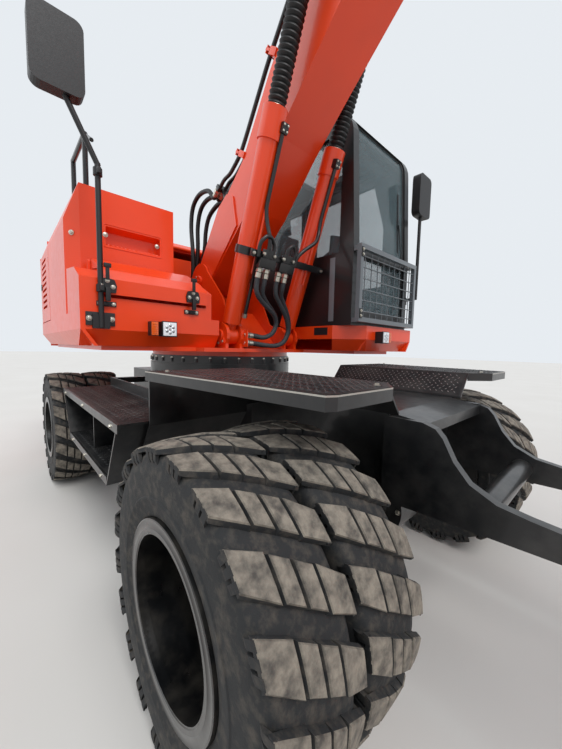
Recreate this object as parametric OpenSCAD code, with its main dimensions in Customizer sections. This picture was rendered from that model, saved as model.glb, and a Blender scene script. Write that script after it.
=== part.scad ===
// Wheeled excavator with twin tyres, a one-piece boom, an arm and a bucket.
// X points forward, Y to the left, Z up. Every size is in millimetres.

/* [Running gear] */
// Front axle ahead of the slewing centre
front_axle_x = 1700; // [1680:5:1720]
// Rear axle behind the slewing centre
rear_axle_back = 1150; // [1130:5:1170]
// Outer radius of a tyre over its lugs
tyre_r = 526; // [522:1:530]
// Width of one tyre
tyre_w = 278; // [272:1:282]
// Distance between the two tyres of a pair, centre to centre
pair_pitch = 300; // [296:1:306]
// Distance of a pair's centre from the middle of the machine
pair_y = 957; // [952:1:962]
// Height of the lugs over the carcass
lug_h = 23; // [15:1:28]
// Number of lugs around each shoulder of a tyre
lug_count = 20; // [16:1:24]
// Radius of the rim's barrel, where the tyre seats
rim_r = 254; // [250:1:258]
// Thickness of the rim's barrel
rim_t = 10; // [8:1:14]
// Distance of a king pin from the middle of the machine
kingpin_y = 500; // [495:1:505]
// Radius of a wheel spindle
spindle_r = 60; // [52:1:66]
// Radius of an axle tube
axle_tube_r = 95; // [85:1:105]

/* [Chassis] */
// Height of the underside of the main box
box_z0 = 740; // [735:1:750]
// Height of the top of the main box
box_z1 = 1060; // [1050:1:1065]
// Half width of the box between the axles
box_mid_w = 430; // [400:5:440]
// Half width of the box over the axles
box_end_w = 325; // [300:5:330]
// Rear end of the box
box_rear_x = -1560; // [-1600:10:-1500]
// Outer radius of the slewing ring
ring_r = 620; // [600:5:640]
// Thickness of each race of the slewing ring
race_h = 62; // [55:1:70]
// Height of the top of a front fender
fender_z = 1215; // [1205:1:1225]
// Thickness of fender, deck and step plates
sheet_t = 12; // [8:1:16]
// Height of the front deck's top
deck_z = 1075; // [1072:1:1080]
// Forward end of the front rest's horns
rest_end_x = 2900; // [2800:10:3000]
// Distance of a rest horn's centre from the middle of the machine
rest_y = 345; // [342:1:352]
// Thickness of a rest horn
rest_t = 40; // [30:1:44]
// Distance of a step's outer edge from the middle of the machine
step_y = 1180; // [1160:1:1200]

/* [Upper frame] */
// Height of the underside of the upper frame
deck_z0 = 1330; // [1325:1:1335]
// Height of the top of the upper frame
deck_z1 = 1525; // [1515:1:1535]
// Half width of the upper frame
half_w = 1245; // [1235:1:1250]
// Tail radius of the counterweight
tail_r = 2750; // [2700:10:2800]
// Front of the tool box
tool_x = 600; // [585:5:620]
// Front wall of the fuel tank
tank_x = 220; // [200:5:240]
// Top of the tank and of the engine housing
hood_z = 2330; // [2300:5:2350]
// Thickness of the housing's panels
panel_t = 25; // [15:1:30]
// Half distance between the rails that carry the boom's foot
ear_y = 196; // [195:1:197]
// Thickness of a rail
ear_t = 16; // [12:1:16]

/* [Cab] */
// Front face of the cab
cab_x1 = 1170; // [1150:5:1180]
// Rear face of the cab
cab_x0 = -600; // [-620:5:-580]
// Inner side of the cab, beside the boom
cab_y0 = 385; // [380:1:395]
// Top of the cab's roof
cab_z1 = 3130; // [3080:5:3180]
// Thickness of the cab's walls
cab_wall = 60; // [45:1:70]
// Thickness of the window glass
glass_t = 8; // [6:1:12]
// How far the mirrors reach from the middle of the machine
mirror_y = 1420; // [1410:5:1440]

/* [Working arm] */
// Boom foot pin ahead of the slewing centre
foot_x = -50; // [-60:1:-40]
// Boom foot pin above the ground
foot_z = 1925; // [1915:1:1935]
// Length of the boom, pin to pin
boom_l = 5700; // [5650:10:5750]
// Boom chord above the horizontal as parked
boom_a = 27; // [26:0.5:28]
// Half width of the boom's box
boom_w = 180; // [170:1:184]
// Length of the arm, pin to pin
arm_l = 2400; // [2380:5:2450]
// Direction of the arm from its pivot as parked
arm_a = -100; // [-102:0.5:-98]
// Half width of the arm's box
arm_w = 140; // [130:1:145]
// Bucket pin to the tips of the teeth
bucket_r = 1450; // [1430:5:1470]
// Direction of the teeth from the bucket pin as parked
bucket_a = -140; // [-142:1:-138]
// Half width of the bucket
bucket_w = 560; // [500:10:600]
// Thickness of the bucket's plates
bucket_t = 25; // [18:1:30]
// Radius of the main pins
pin_r = 42; // [38:1:46]

/* [Cylinders] */
// Boom cylinder foot ahead of the slewing centre
ram_x = 550; // [545:1:555]
// Boom cylinder foot above the ground
ram_z = 1425; // [1422:1:1428]
// Distance of a boom cylinder from the middle of the machine
ram_y = 285; // [283:1:287]
// Outer radius of a boom cylinder's barrel
ram_r = 68; // [60:1:70]
// Radius of a cylinder's rod
rod_r = 42; // [36:1:45]
// Foot pin to the gland of a boom cylinder
ram_l = 1430; // [1420:1:1440]
// Outer radius of the rod's bellows
bellows_r = 58; // [50:1:62]

/* [Hidden] */
$fn = 48;

// Clearances: between parts that only touch, in running fits, and between moving parts
touch = 0.3;
run = 0.05;
free = 5;
red = "orangered";
dark = "dimgray";

// Pivots in the machine's side plane, worked out from the lengths and angles above
function turn(a, p) = [p.x * cos(a) - p.y * sin(a), p.x * sin(a) + p.y * cos(a)];
function arc(c, r, a0, a1, n) =
  [for (i = [0:n]) c + r * [cos(a0 + (a1 - a0) * i / n), sin(a0 + (a1 - a0) * i / n)]];
function angle_of(p) = atan2(p.y, p.x);
// Where two circles about p and q meet, on the left of the way from p to q
function meet(p, rp, q, rq) =
  let (d = norm(q - p), a = acos((rp * rp + d * d - rq * rq) / (2 * rp * d)))
  p + rp * [cos(angle_of(q - p) + a), sin(angle_of(q - p) + a)];

foot = [foot_x, foot_z];
tip = foot + turn(boom_a, [boom_l, 0]);
bucket_pin = tip + turn(arm_a, [arm_l, 0]);
ram_foot = [ram_x, ram_z];
// Boom cylinder's eye on the boom, in the boom's own axes
ram_eye_b = [2069, 912];
ram_eye = foot + turn(boom_a, ram_eye_b);
ram_a = angle_of(ram_eye - ram_foot);
ram_len = norm(ram_eye - ram_foot);
// Arm cylinder: foot in the boom's axes, eye in the arm's axes
stick_foot_b = [3000, 1235];
stick_eye_a = [-673, 193];
stick_foot = foot + turn(boom_a, stick_foot_b);
stick_eye = tip + turn(arm_a, stick_eye_a);
stick_a = angle_of(stick_eye - stick_foot);
stick_len = norm(stick_eye - stick_foot);
stick_l = 1950;
// Bucket linkage in the arm's axes: rocker pivot, cylinder foot, lengths of rocker and link
rock_a = [1960, 40];
rock_l = 500;
link_l = 520;
lug_r = 400;
lug_a = 90;
crowd_foot_a = [60, 470];
rock_pin = tip + turn(arm_a, rock_a);
lug_pin = bucket_pin + lug_r * [cos(arm_a + lug_a), sin(arm_a + lug_a)];
link_pin = meet(rock_pin, rock_l, lug_pin, link_l);
crowd_foot = tip + turn(arm_a, crowd_foot_a);
crowd_a = angle_of(link_pin - crowd_foot);
crowd_len = norm(link_pin - crowd_foot);
crowd_l = 1180;
eye_r = 75;

// The machine's box is centred over the origin
bracket_r = 88;
front_reach = crowd_foot.x + bracket_r;
mid_x = (front_reach - tail_r) / 2;
module place() { translate([-mid_x, 0, 0]) children(); }

// Extrusions: a side profile drawn in X and Z, and a plan drawn in X and Y
module side(y0, y1) {
  translate([0, y1, 0]) rotate([90, 0, 0]) linear_extrude(y1 - y0) children();
}
module plan(z0, z1) { translate([0, 0, z0]) linear_extrude(z1 - z0) children(); }
module both() {
  children();
  mirror([0, 1, 0]) children();
}
// Round bar across the machine at p, and along the machine at y, z
module cross(p, r, y0, y1) { translate([p.x, y1, p.y]) rotate([90, 0, 0]) cylinder(h = y1 - y0, r = r); }
module lengthwise(x0, x1, y, z, r) { translate([x0, y, z]) rotate([0, 90, 0]) cylinder(h = x1 - x0, r = r); }
module brick(x0, x1, y0, y1, z0, z1) { translate([x0, y0, z0]) cube([x1 - x0, y1 - y0, z1 - z0]); }
// Two round ends joined by their tangents
module strap(p, rp, q, rq, n = 10) {
  d = norm(q - p);
  t = angle_of(q - p);
  b = acos((rp - rq) / d);
  polygon(concat(arc(p, rp, t + b, t + 360 - b, n), arc(q, rq, t - b, t + b, n)));
}
// A frame that lies in the side plane at p and points along angle a
module along(p, a, y = 0) { translate([p.x, y, p.y]) rotate([0, -a, 0]) children(); }

// Wheels
module tyre_body() {
  h = tyre_w / 2;
  crown = tyre_r - lug_h - 3;
  seat_h = h - 21;
  half = [
    [rim_r + touch, seat_h], [292, seat_h], [330, h - 8], [400, h], [455, h - 4], [488, h - 12], [crown, h - 21]
  ];
  rotate_extrude() polygon(concat(
    half, [for (i = [len(half) - 1:-1:0]) [half[i].x, -half[i].y]]
  ));
}
module lug_ring(z0, z1, turn_by) {
  pitch = 360 / lug_count;
  root = tyre_r - lug_h;
  difference() {
    rotate([0, 0, turn_by]) plan(z0, z1) polygon([
      for (i = [0:lug_count - 1], k = [[0.02, 0], [0.08, 1], [0.62, 1], [0.68, 0]])
        (root + k[1] * lug_h) * [cos((i + k[0]) * pitch), sin((i + k[0]) * pitch)]
    ]);
    translate([0, 0, z0 - 1]) cylinder(h = z1 - z0 + 2, r = root - 40);
  }
}
module tyre() {
  edge = tyre_w / 2 - 22;
  tyre_body();
  lug_ring(12, edge, 0);
  lug_ring(-edge, -12, 180 / lug_count);
}
// s is -1 on the right and 1 on the left
module tyres(x, s) {
  color("black") for (k = [-1, 1])
    translate([x, s * (pair_y + k * pair_pitch / 2), tyre_r]) rotate([90, 0, 0]) tyre();
}
flange_r = 292;
rim_half = pair_pitch / 2 + tyre_w / 2 - 3;
drum_r = 150;
hub_in = 140;
module rims(x, s) {
  bead = tyre_w / 2 - 21 + touch;
  color(dark) translate([x, s * pair_y, tyre_r]) rotate([s * 90 - 180, 0, 0]) difference() {
    union() {
      difference() {
        cylinder(h = 2 * rim_half, r = rim_r, center = true);
        cylinder(h = 2 * rim_half + 2, r = rim_r - rim_t, center = true);
      }
      for (k = [-1, 1], e = [-1, 1]) {
        z = k * pair_pitch / 2 + e * bead;
        translate([0, 0, min(z, z + e * 18)]) difference() {
          cylinder(h = 18, r = flange_r);
          translate([0, 0, -1]) cylinder(h = 20, r = rim_r - rim_t);
        }
      }
      cylinder(h = 24, r = rim_r - rim_t / 2, center = true);
      cylinder(h = 110, r1 = drum_r, r2 = drum_r - 30);
      translate([0, 0, -hub_in]) cylinder(h = hub_in, r = 110);
      for (i = [0:9]) rotate([0, 0, i * 36]) translate([drum_r + 30, 0, 11]) cylinder(h = 34, r = 16);
    }
    translate([0, 0, -hub_in - 1]) cylinder(h = hub_in + 1 - 22, r = spindle_r + run);
  }
}
spindle_end = pair_y - 24;
drum_y0 = 600;
drum_y1 = pair_y - hub_in - 8;
module spindle(x, s) {
  mirror([0, s < 0 ? 1 : 0, 0]) {
    cross([x, tyre_r], spindle_r, drum_y1 - 1, spindle_end);
    cross([x, tyre_r], drum_r, drum_y0, drum_y1);
  }
}
yoke_h = 95;
module knuckle(s) {
  color(dark) difference() {
    union() {
      spindle(front_axle_x, s);
      mirror([0, s < 0 ? 1 : 0, 0]) cross([front_axle_x, tyre_r], 80, kingpin_y, drum_y0 + 1);
      translate([front_axle_x, s * kingpin_y, tyre_r - yoke_h]) cylinder(h = 2 * yoke_h, r = 85);
    }
    translate([front_axle_x, s * kingpin_y, tyre_r - yoke_h - 1]) cylinder(h = 2 * yoke_h + 2, r = 35 + run);
  }
}

// Axles, fixed under the chassis
pivot_z = 705;
diff_r = 175;
module axle_tube(x, half, r) {
  cross([x, tyre_r], r, -half, half);
  cross([x, tyre_r], diff_r, -120, 120);
}
module axles() {
  ear_h = 40;
  web_y = kingpin_y - 100;
  color(dark) {
    axle_tube(front_axle_x, web_y - 20, axle_tube_r);
    lengthwise(front_axle_x - 240, front_axle_x + 185, 0, pivot_z, 55);
    brick(front_axle_x - 90, front_axle_x + 90, -100, 100, tyre_r + 100, pivot_z);
    both() {
      brick(front_axle_x - 90, front_axle_x + 90, web_y - 70, web_y, tyre_r - yoke_h - ear_h, tyre_r + yoke_h + ear_h);
      for (z = [tyre_r + yoke_h + touch, tyre_r - yoke_h - ear_h - touch]) {
        brick(front_axle_x - 90, front_axle_x + 90, web_y - 1, kingpin_y, z, z + ear_h);
        translate([front_axle_x, kingpin_y, z]) cylinder(h = ear_h, r = 90);
      }
      translate([front_axle_x, kingpin_y, tyre_r - yoke_h - ear_h - 12]) cylinder(h = 2 * (yoke_h + ear_h) + 24, r = 35);
    }
    axle_tube(-rear_axle_back, drum_y0 + 1, axle_tube_r + 15);
    for (s = [-1, 1]) {
      spindle(-rear_axle_back, s);
      brick(-rear_axle_back - 110, -rear_axle_back + 110, s * 250 - 45, s * 250 + 45, tyre_r + 60, box_z0 - touch);
    }
  }
}
gear_x = 250;
module drive_line() {
  color(dark) {
    brick(gear_x - 190, gear_x + 190, -170, 170, tyre_r - 110, box_z0 - touch);
    lengthwise(gear_x + 189, front_axle_x - diff_r - touch, 0, tyre_r, 38);
    lengthwise(-rear_axle_back + diff_r + touch, gear_x - 189, 0, tyre_r, 38);
    for (x = [gear_x + 189, front_axle_x - diff_r - touch - 70, -rear_axle_back + diff_r + touch, gear_x - 259])
      lengthwise(x, x + 70, 0, tyre_r, 62);
  }
}
lock_y = 250;
module axle_rams() {
  color(dark) both() {
    translate([front_axle_x, lock_y, tyre_r + axle_tube_r + touch]) cylinder(h = 84, r = 32);
    translate([front_axle_x, lock_y, tyre_r + axle_tube_r + 80])
      cylinder(h = box_z0 - touch - tyre_r - axle_tube_r - 80, r = 26);
  }
}

// Inner face of the steps' back wall
step_in = 808;
// Chassis
module chassis_frame() {
  front = front_axle_x + 190;
  hanger = front_axle_x + 150;
  color(dark) {
    difference() {
      union() {
        plan(box_z0, box_z1) polygon([
          [box_rear_x, -box_end_w], [-760, -box_end_w], [-640, -box_mid_w], [700, -box_mid_w],
          [900, -box_end_w], [front, -box_end_w], [front, box_end_w], [900, box_end_w],
          [700, box_mid_w], [-640, box_mid_w], [-760, box_end_w], [box_rear_x, box_end_w]
        ]);
        for (x = [hanger, front_axle_x - 190]) brick(x, x + 40, -110, 110, pivot_z - 75, box_z0 + 1);
        translate([0, 0, box_z1 - 1]) cylinder(h = deck_z0 - 2 * race_h - box_z1 + 1, r = ring_r + 10);
        // Tow eye plates at the tail
        for (y = [-70, 40]) side(y, y + 30) strap([box_rear_x - 90, 860], 60, [box_rear_x + 40, 860], 90);
      }
      lengthwise(front_axle_x - 300, front_axle_x + 300, 0, pivot_z, 55 + touch);
      cross([box_rear_x - 90, 860], 25, -80, 80);
      // The drum is hollow, for the swivel
      translate([0, 0, box_z1 + 40]) cylinder(h = deck_z0, r = ring_r - 120);
    }
    // Outriggers that carry fenders and steps
    both() for (x = [-560, 560, 960]) brick(x, x + 60, x > 900 ? box_end_w - 1 : box_mid_w - 1, step_in - touch, 990, 1040);
  }
}
module slew_ring() {
  z = deck_z0 - 2 * race_h;
  color(dark) {
    difference() {
      union() {
        translate([0, 0, z]) cylinder(h = race_h, r = ring_r);
        for (i = [0:35]) rotate([0, 0, i * 10]) translate([ring_r - 2, 0, z + 12]) cylinder(h = 30, r = 14);
      }
      translate([0, 0, z - 1]) cylinder(h = race_h + 2, r = ring_r - 110);
    }
  }
}
// Fender outline, seen from above on the left side
fender_x0 = 1030;
fender_x1 = 2045;
module fender_outline() {
  polygon([
    [fender_x0, 470], [fender_x0, 1060], [fender_x1 - 15, 935], [fender_x1, 900], [fender_x1, 600],
    [fender_x1 - 90, 470]
  ]);
}
module front_fenders() {
  rim_h = 45;
  color(dark) both() {
    plan(fender_z - sheet_t, fender_z) fender_outline();
    // Folded edge
    plan(fender_z - rim_h, fender_z - sheet_t + 1) difference() {
      fender_outline();
      polygon([
        [fender_x0 + sheet_t, 400], [fender_x0 + sheet_t, 1047], [fender_x1 - 25, 922], [fender_x1 - sheet_t, 898],
        [fender_x1 - sheet_t, 604], [fender_x1 - 94, 482], [fender_x1 - 94, 400]
      ]);
    }
    // Rear leg, down to the step
    side(470, 1045) polygon([
      [fender_x0, fender_z - sheet_t + 1], [fender_x0 + sheet_t, fender_z - sheet_t + 1],
      [fender_x0 + sheet_t, 950], [797, 600], [784.5, 610], [fender_x0, 954]
    ]);
    // Sloping inner side, down to the deck
    translate([fender_x0, 0, 0]) rotate([90, 0, 90]) linear_extrude(fender_x1 - 90 - fender_x0) polygon([
      [470, fender_z], [470, fender_z - sheet_t], [rest_y + rest_t / 2 + touch, deck_z - 3],
      [rest_y + rest_t / 2 + touch, deck_z + 11]
    ]);
  }
}
module side_steps() {
  y0 = 760;
  // Tread heights and their ends: height, rear end, front end
  treads = [[965, -600, 1000], [640, -330, 775]];
  color(dark) both() {
    for (t = treads) {
      brick(t[1], t[2], y0 + 60, step_y, t[0] - sheet_t, t[0]);
      brick(t[1], t[2], step_y - sheet_t, step_y, t[0] - 45, t[0] - sheet_t + 1);
    }
    // Back wall
    side(step_in, y0 + 61) polygon([
      [-600, 1040], [1000, 1040], [1000, 953], [775, 595], [-330, 595], [-600, 953]
    ]);
    // End walls follow the slope of the treads' ends
    for (w = [[-600, 12], [1000, -12]]) side(y0 + 60, step_y) polygon([
      [w[0], 965], [w[0] + w[1], 965], [w[0] < 0 ? -318 : 763, 595], [w[0] < 0 ? -330 : 775, 595]
    ]);
    brick(190, 202, y0 + 60, step_y - 60, 595, 954);
  }
}
// Front deck with its two horns, on which the bucket rests on the road
horn_top = [
  [2050, 1062], [2100, 1046], [2128, 1015], [2170, 936], [2225, 872], [2310, 830], [2400, 816], [2480, 808]
];
module front_rest() {
  back = front_axle_x + 190 + touch;
  color(dark) both() {
    difference() {
      side(rest_y - rest_t / 2, rest_y + rest_t / 2) polygon(concat(
        [[back, 1062]], horn_top, [[rest_end_x - 60, 802]],
        arc([rest_end_x - 60, 762], 40, 90, -90, 6), [[2480, 716], [2130, 703], [back, 690]]
      ));
      cross([rest_end_x - 70, 762], 22, rest_y - 40, rest_y + 40);
    }
  }
  color(dark) {
    brick(fender_x0 + 1, back + 20, -rest_y - rest_t / 2, rest_y + rest_t / 2, box_z1 + touch, deck_z);
    brick(back, back + 20, 1 - rest_y, rest_y - 1, 690, 1063);
    side(1 - rest_y, rest_y - 1) polygon([
      [back + 19, 1062], [back + 19, deck_z], [2062, 1056], [2062, 1010], [2050, 1010], [2050, 1043]
    ]);
    cross([rest_end_x - 640, 770], 45, 1 - rest_y, rest_y - 1);
  }
}

// Upper frame
cab_deck_x = cab_x1 + 55;
deck_in = 362;
side_x = -1270;
tail_y = 1120;
module deck_outline() {
  polygon([
    [-2050, -tail_y], [side_x, -half_w], [tool_x, -half_w], [tool_x, -400], [300, -375], [300, deck_in],
    [1018, deck_in], [cab_deck_x, 520], [cab_deck_x, half_w], [side_x, half_w], [-2050, tail_y]
  ]);
}
// Inner line of the sills
module sill_inside() {
  w = 60;
  polygon([
    [-1990, w - tail_y], [side_x + 4, w - half_w], [tool_x - w, w - half_w], [tool_x - w, -430 - w / 2],
    [300, -430], [-200, -375], [-200, deck_in], [300, deck_in + w], [1018 - w / 2, deck_in + w],
    [cab_deck_x - w, 520 + w / 2], [cab_deck_x - w, half_w - w], [side_x + 4, half_w - w], [-1990, tail_y - w]
  ]);
}
knee_z = 1420;
rail_y0 = ear_y;
rail_t = ear_t;
ear_r = 95;
lug_t = 24;
module upper_frame() {
  ear_in = ram_y - 49 - lug_t;
  ear_out = ram_y + 49;
  color(red) {
    difference() {
      union() {
        // Pan under the whole deck, with a lip in front of the cylinders' feet
        plan(deck_z0 - 26, deck_z0 + 1) polygon([
          [-1980, -1050], [side_x, 120 - half_w], [tool_x - 110, 120 - half_w], [tool_x - 40, -560],
          [tool_x + 45, -540], [tool_x + 45, 430], [cab_deck_x - 160, 600], [cab_deck_x - 160, half_w - 120],
          [side_x, half_w - 120], [-1980, 1050]
        ]);
        plan(knee_z, deck_z1 - 20) difference() {
          deck_outline();
          sill_inside();
        }
        plan(deck_z1 - 20, deck_z1) difference() {
          deck_outline();
          translate([-700, -375]) square([tool_x + 2000, deck_in + 375]);
          translate([-1950, -1050]) square([1100, 2100]);
        }
        skirt();
        // Rails that carry the boom's foot, then the ears of its cylinders
        both() {
          side(rail_y0, rail_y0 + rail_t) polygon(concat(
            [[-900, deck_z0], [-900, deck_z1]],
            arc(foot, 150, 155, 25, 8),
            [[330, 1745], [ram_x - 105, 1540]],
            arc(ram_foot, ear_r, 110, -50, 8), [[ram_x + 70, deck_z0]]
          ));
          for (y = [ear_in, ear_out]) side(y, y + lug_t) polygon(concat(
            [[ram_x - 190, deck_z0]], arc(ram_foot, ear_r, 155, -40, 8), [[ram_x + 73, deck_z0]]
          ));
        }
        // Plate between the rails, behind the hoses
        side(1 - rail_y0, rail_y0 - 1) polygon([
          [ram_x + 20, deck_z0], [ram_x, deck_z0], [190, 1640], [205, 1652]
        ]);
        // Foot of the slewing ring's upper race
        translate([0, 0, deck_z0 - race_h + touch]) cylinder(h = race_h + 1 - touch, r = ring_r - 8);
      }
      translate([0, 0, deck_z0 - race_h - 1]) cylinder(h = race_h + 2, r = ring_r - 150);
    }
    both() {
      cross(foot, pin_r, -rail_y0 - rail_t - 12, rail_y0 + rail_t + 12);
      cross(ram_foot, pin_r, rail_y0 + 1, ear_out + lug_t + 10);
    }
  }
}
// Each run of the skirt: its two ends, and how far its foot is set in
module skirt() {
  runs = [
    [[-2000, -1128], [side_x, -half_w]], [[side_x, -half_w], [tool_x, -half_w]], [[tool_x, -half_w], [tool_x, -400]],
    [[1018, deck_in], [cab_deck_x, 520]], [[cab_deck_x, 520], [cab_deck_x, half_w]],
    [[cab_deck_x, half_w], [side_x, half_w]], [[side_x, half_w], [-2000, 1128]]
  ];
  in = 62;
  for (r = runs) {
    d = (r[1] - r[0]) / norm(r[1] - r[0]);
    n = [-d.y, d.x];
    polyhedron(
      points = concat(
        [for (p = [r[0], r[1], r[1] + 20 * n, r[0] + 20 * n]) [p.x, p.y, knee_z + 1]],
        [for (p = [r[0] + in * n, r[1] + in * n, r[1] + (in + 20) * n, r[0] + (in + 20) * n]) [p.x, p.y, deck_z0]]
      ),
      faces = [[3, 2, 1, 0], [4, 5, 6, 7], [0, 1, 5, 4], [1, 2, 6, 5], [2, 3, 7, 6], [3, 0, 4, 7]]
    );
  }
}
weight_x = -1960;
module counterweight() {
  // Plan: an arc about the slewing centre between two flanks
  color(red) difference() {
    plan(deck_z0 - 20, hood_z) intersection() {
      circle(r = tail_r, $fn = 96);
      polygon([[weight_x, -tail_y - 6], [weight_x, tail_y + 6], [-2560, 1040], [-2800, 900], [-2800, -900], [-2560, -1040]]);
    }
    // Seat on the frame's tail
    brick(weight_x - 200, weight_x + 1, -1300, 1300, deck_z0 - 30, deck_z1 + touch);
    // Lifting eyes in the top
    for (y = [-600, 600]) translate([-2350, y, hood_z - 90]) cylinder(h = 100, r = 24);
    // Recess for the tail's grille
    brick(-2800, -2690, -330, 330, 1600, 1900);
  }
}

// Engine bay
bay_x1 = -620;
lean_z = 2120;
lean = 75;
module engine_block() { color("gray") brick(-1720, -1000, -330, 330, deck_z0 + 1 + touch, 2050); }
// Side sheet between two places along the machine, upright and then leaning in to its top
module flank(x0, x1, y, t, z0, z1) {
  w = y - lean * (z1 - lean_z) / (hood_z - lean_z);
  translate([x0, 0, 0]) rotate([90, 0, 90]) linear_extrude(x1 - x0) polygon([
    [y - t, z0], [y, z0], [y, lean_z], [w, z1], [w - t, z1], [y - t, lean_z]
  ]);
}
// Hinge lines: of a side door in plan, and of the hood in the side plane
door_x0 = side_x + free;
door_x1 = bay_x1 - panel_t - 14;
door_hinge = [door_x1 - 8, half_w - 14];
door_lugs = [1640, 2000];
hood_hinge = [bay_x1 - panel_t - free + 16, hood_z + 20];
module engine_housing() {
  z0 = deck_z1 + touch;
  top = hood_z - 10;
  y = half_w - 2;
  wall = 20;
  rail_gap = rail_y0 + rail_t + free;
  color(red) {
    // Bulkheads in front of the engine and before the weight, notched for the rails
    for (s = [[bay_x1 - panel_t, y], [weight_x + touch, tail_y]])
      translate([s[0], 0, 0]) rotate([90, 0, 90]) linear_extrude(panel_t) polygon([
        [-s[1], z0], [-rail_gap, z0], [-rail_gap, 1725], [rail_gap, 1725], [rail_gap, z0], [s[1], z0], [s[1], lean_z],
        [s[1] - lean, top], [690, top], [690, top - 80], [-690, top - 80], [-690, top], [lean - s[1], top], [-s[1], lean_z]
      ]);
    both() {
      // Fixed flank that tapers to the tail, then the top beside the hood
      difference() {
        plan(z0, lean_z + 1) polygon([
          [weight_x + panel_t, tail_y], [side_x, y], [side_x, y - wall], [weight_x + panel_t, tail_y - wall]
        ]);
      }
      plan(lean_z, top) polygon([
        [weight_x + panel_t, tail_y - 60], [side_x, y - 60], [side_x, y - 60 - wall], [weight_x + panel_t, tail_y - 60 - wall]
      ]);
      plan(lean_z, lean_z + wall) polygon([
        [weight_x + panel_t, tail_y], [side_x, y], [side_x, y - 81], [weight_x + panel_t, tail_y - 81]
      ]);
      brick(side_x - wall, side_x, 690, y - 60, 2240, top);
      brick(weight_x + panel_t - 1, bay_x1 - panel_t + 1, 690, 740, top - 60, top);
      plan(top - panel_t, top) polygon([
        [weight_x + panel_t - 1, 739], [bay_x1 - panel_t + 1, 739], [bay_x1 - panel_t + 1, y - lean - 30],
        [side_x, y - lean - 30], [weight_x + panel_t - 1, tail_y - 61]
      ]);
    }
    // Valve housing behind the tank, open towards the boom's foot
    mirror([0, 1, 0]) flank(bay_x1 - 1, -300, y, wall, z0, top);
    brick(bay_x1 - 1, -300, lean - y, -380, top - panel_t, top);
    brick(-300 - panel_t, -300, 1 - y + wall, -380, z0, lean_z);
    brick(bay_x1 - 1, -300, -405, -380, z0, top);
    // Lugs and pins of the side doors, then of the hood
    both() for (z = door_lugs) {
      brick(door_hinge.x - 8, bay_x1 - panel_t + 1, door_hinge.y - 11, door_hinge.y + 11, z + 5, z + 35);
      translate([door_hinge.x, door_hinge.y, z + 5]) cylinder(h = 30, r = 11);
      translate([door_hinge.x, door_hinge.y, z - 30]) cylinder(h = 100, r = 6);
    }
    both() {
      brick(bay_x1 - panel_t, bay_x1, 505, 520, 2239, hood_hinge.y);
      cross(hood_hinge, 14, 505, 520);
    }
    cross(hood_hinge, 8 - run, -510, 510);
  }
}
module engine_hood() {
  x0 = weight_x + panel_t + 30;
  x1 = bay_x1 - panel_t - free;
  z0 = hood_z - 10 + touch;
  z1 = hood_z + 90;
  color(red) difference() {
    union() {
      // Crowned lid: the top is highest along the middle
      translate([x0, 0, 0]) rotate([90, 0, 90]) linear_extrude(x1 - x0) polygon([
        [-735, z0], [735, z0], [735, z0 + 50], [640, z1], [-640, z1], [-735, z0 + 50]
      ]);
      cross(hood_hinge, 17, -500, 500);
    }
    // The front edge slopes, so that it clears the cab when the hood is up
    side(-800, 800) polygon([[x1 - 70, z1 + 1], [x1 - 70, z1], [x1, z0 + 50], [x1 + 1, z0 + 50], [x1 + 1, z1 + 1]]);
    translate([x0 + panel_t, 0, 0]) rotate([90, 0, 90]) linear_extrude(x1 - x0 - panel_t - 80) polygon([
      [-680, z0 - 1], [680, z0 - 1], [680, z0 + 40], [620, z1 - panel_t], [-620, z1 - panel_t], [-680, z0 + 40]
    ]);
    cross(hood_hinge, 8, -501, 501);
    for (x = [x0 + 160:110:x0 + 700]) brick(x, x + 45, -420, 420, hood_z + 40, hood_z + 100);
  }
}
// Side door, flush between the bay's posts: s is -1 on the right and 1 on the left
module side_door(s) {
  slot_n = 9;
  color(red) mirror([0, s < 0 ? 1 : 0, 0]) difference() {
    union() {
      flank(door_x0, door_x1, half_w - 2, panel_t, deck_z1 + 8, hood_z - 20);
      translate([door_hinge.x, door_hinge.y, deck_z1 + 60]) cylinder(h = 500, r = 11);
    }
    // Notches for the hinge lugs, and the bore for their pins
    for (z = door_lugs) {
      brick(door_hinge.x - 20, door_x1 + 20, half_w - 40, half_w + 1, z, z + 40);
      translate([door_hinge.x, door_hinge.y, z - 35]) cylinder(h = 110, r = 6 + run);
    }
    for (i = [0:slot_n - 1])
      brick(door_x0 + 120, door_x0 + 420, half_w - 40, half_w + 1, 1650 + i * 50, 1674 + i * 50);
  }
}
tank_y1 = -568;
corner = 75;
module fuel_tank() {
  z0 = deck_z1 + touch;
  y = 2 - half_w;
  pocket = 70;
  color(red) difference() {
    union() {
      // Plan with the chamfered front corner, then the leaning flank cut from it
      plan(z0, hood_z) polygon([
        [-300 + touch, y], [tank_x - corner, y], [tank_x, y + corner], [tank_x, tank_y1], [-300 + touch, tank_y1]
      ]);
      translate([-60, -900, hood_z - 1]) cylinder(h = 45, r = 70);
    }
    translate([-400, 0, 0]) rotate([90, 0, 90]) linear_extrude(800) polygon([
      [y - 1, lean_z], [y, lean_z], [y + lean, hood_z], [y + lean, hood_z + 1], [y - 1, hood_z + 1]
    ]);
    // Step pocket in the front wall
    side(-1023, -669) polygon([
      [tank_x - pocket, 2010], [tank_x + 1, 1990], [tank_x + 1, 2110], [tank_x - pocket, 2090]
    ]);
  }
}
tool_y0 = -1245;
tool_y1 = -460;
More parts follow.
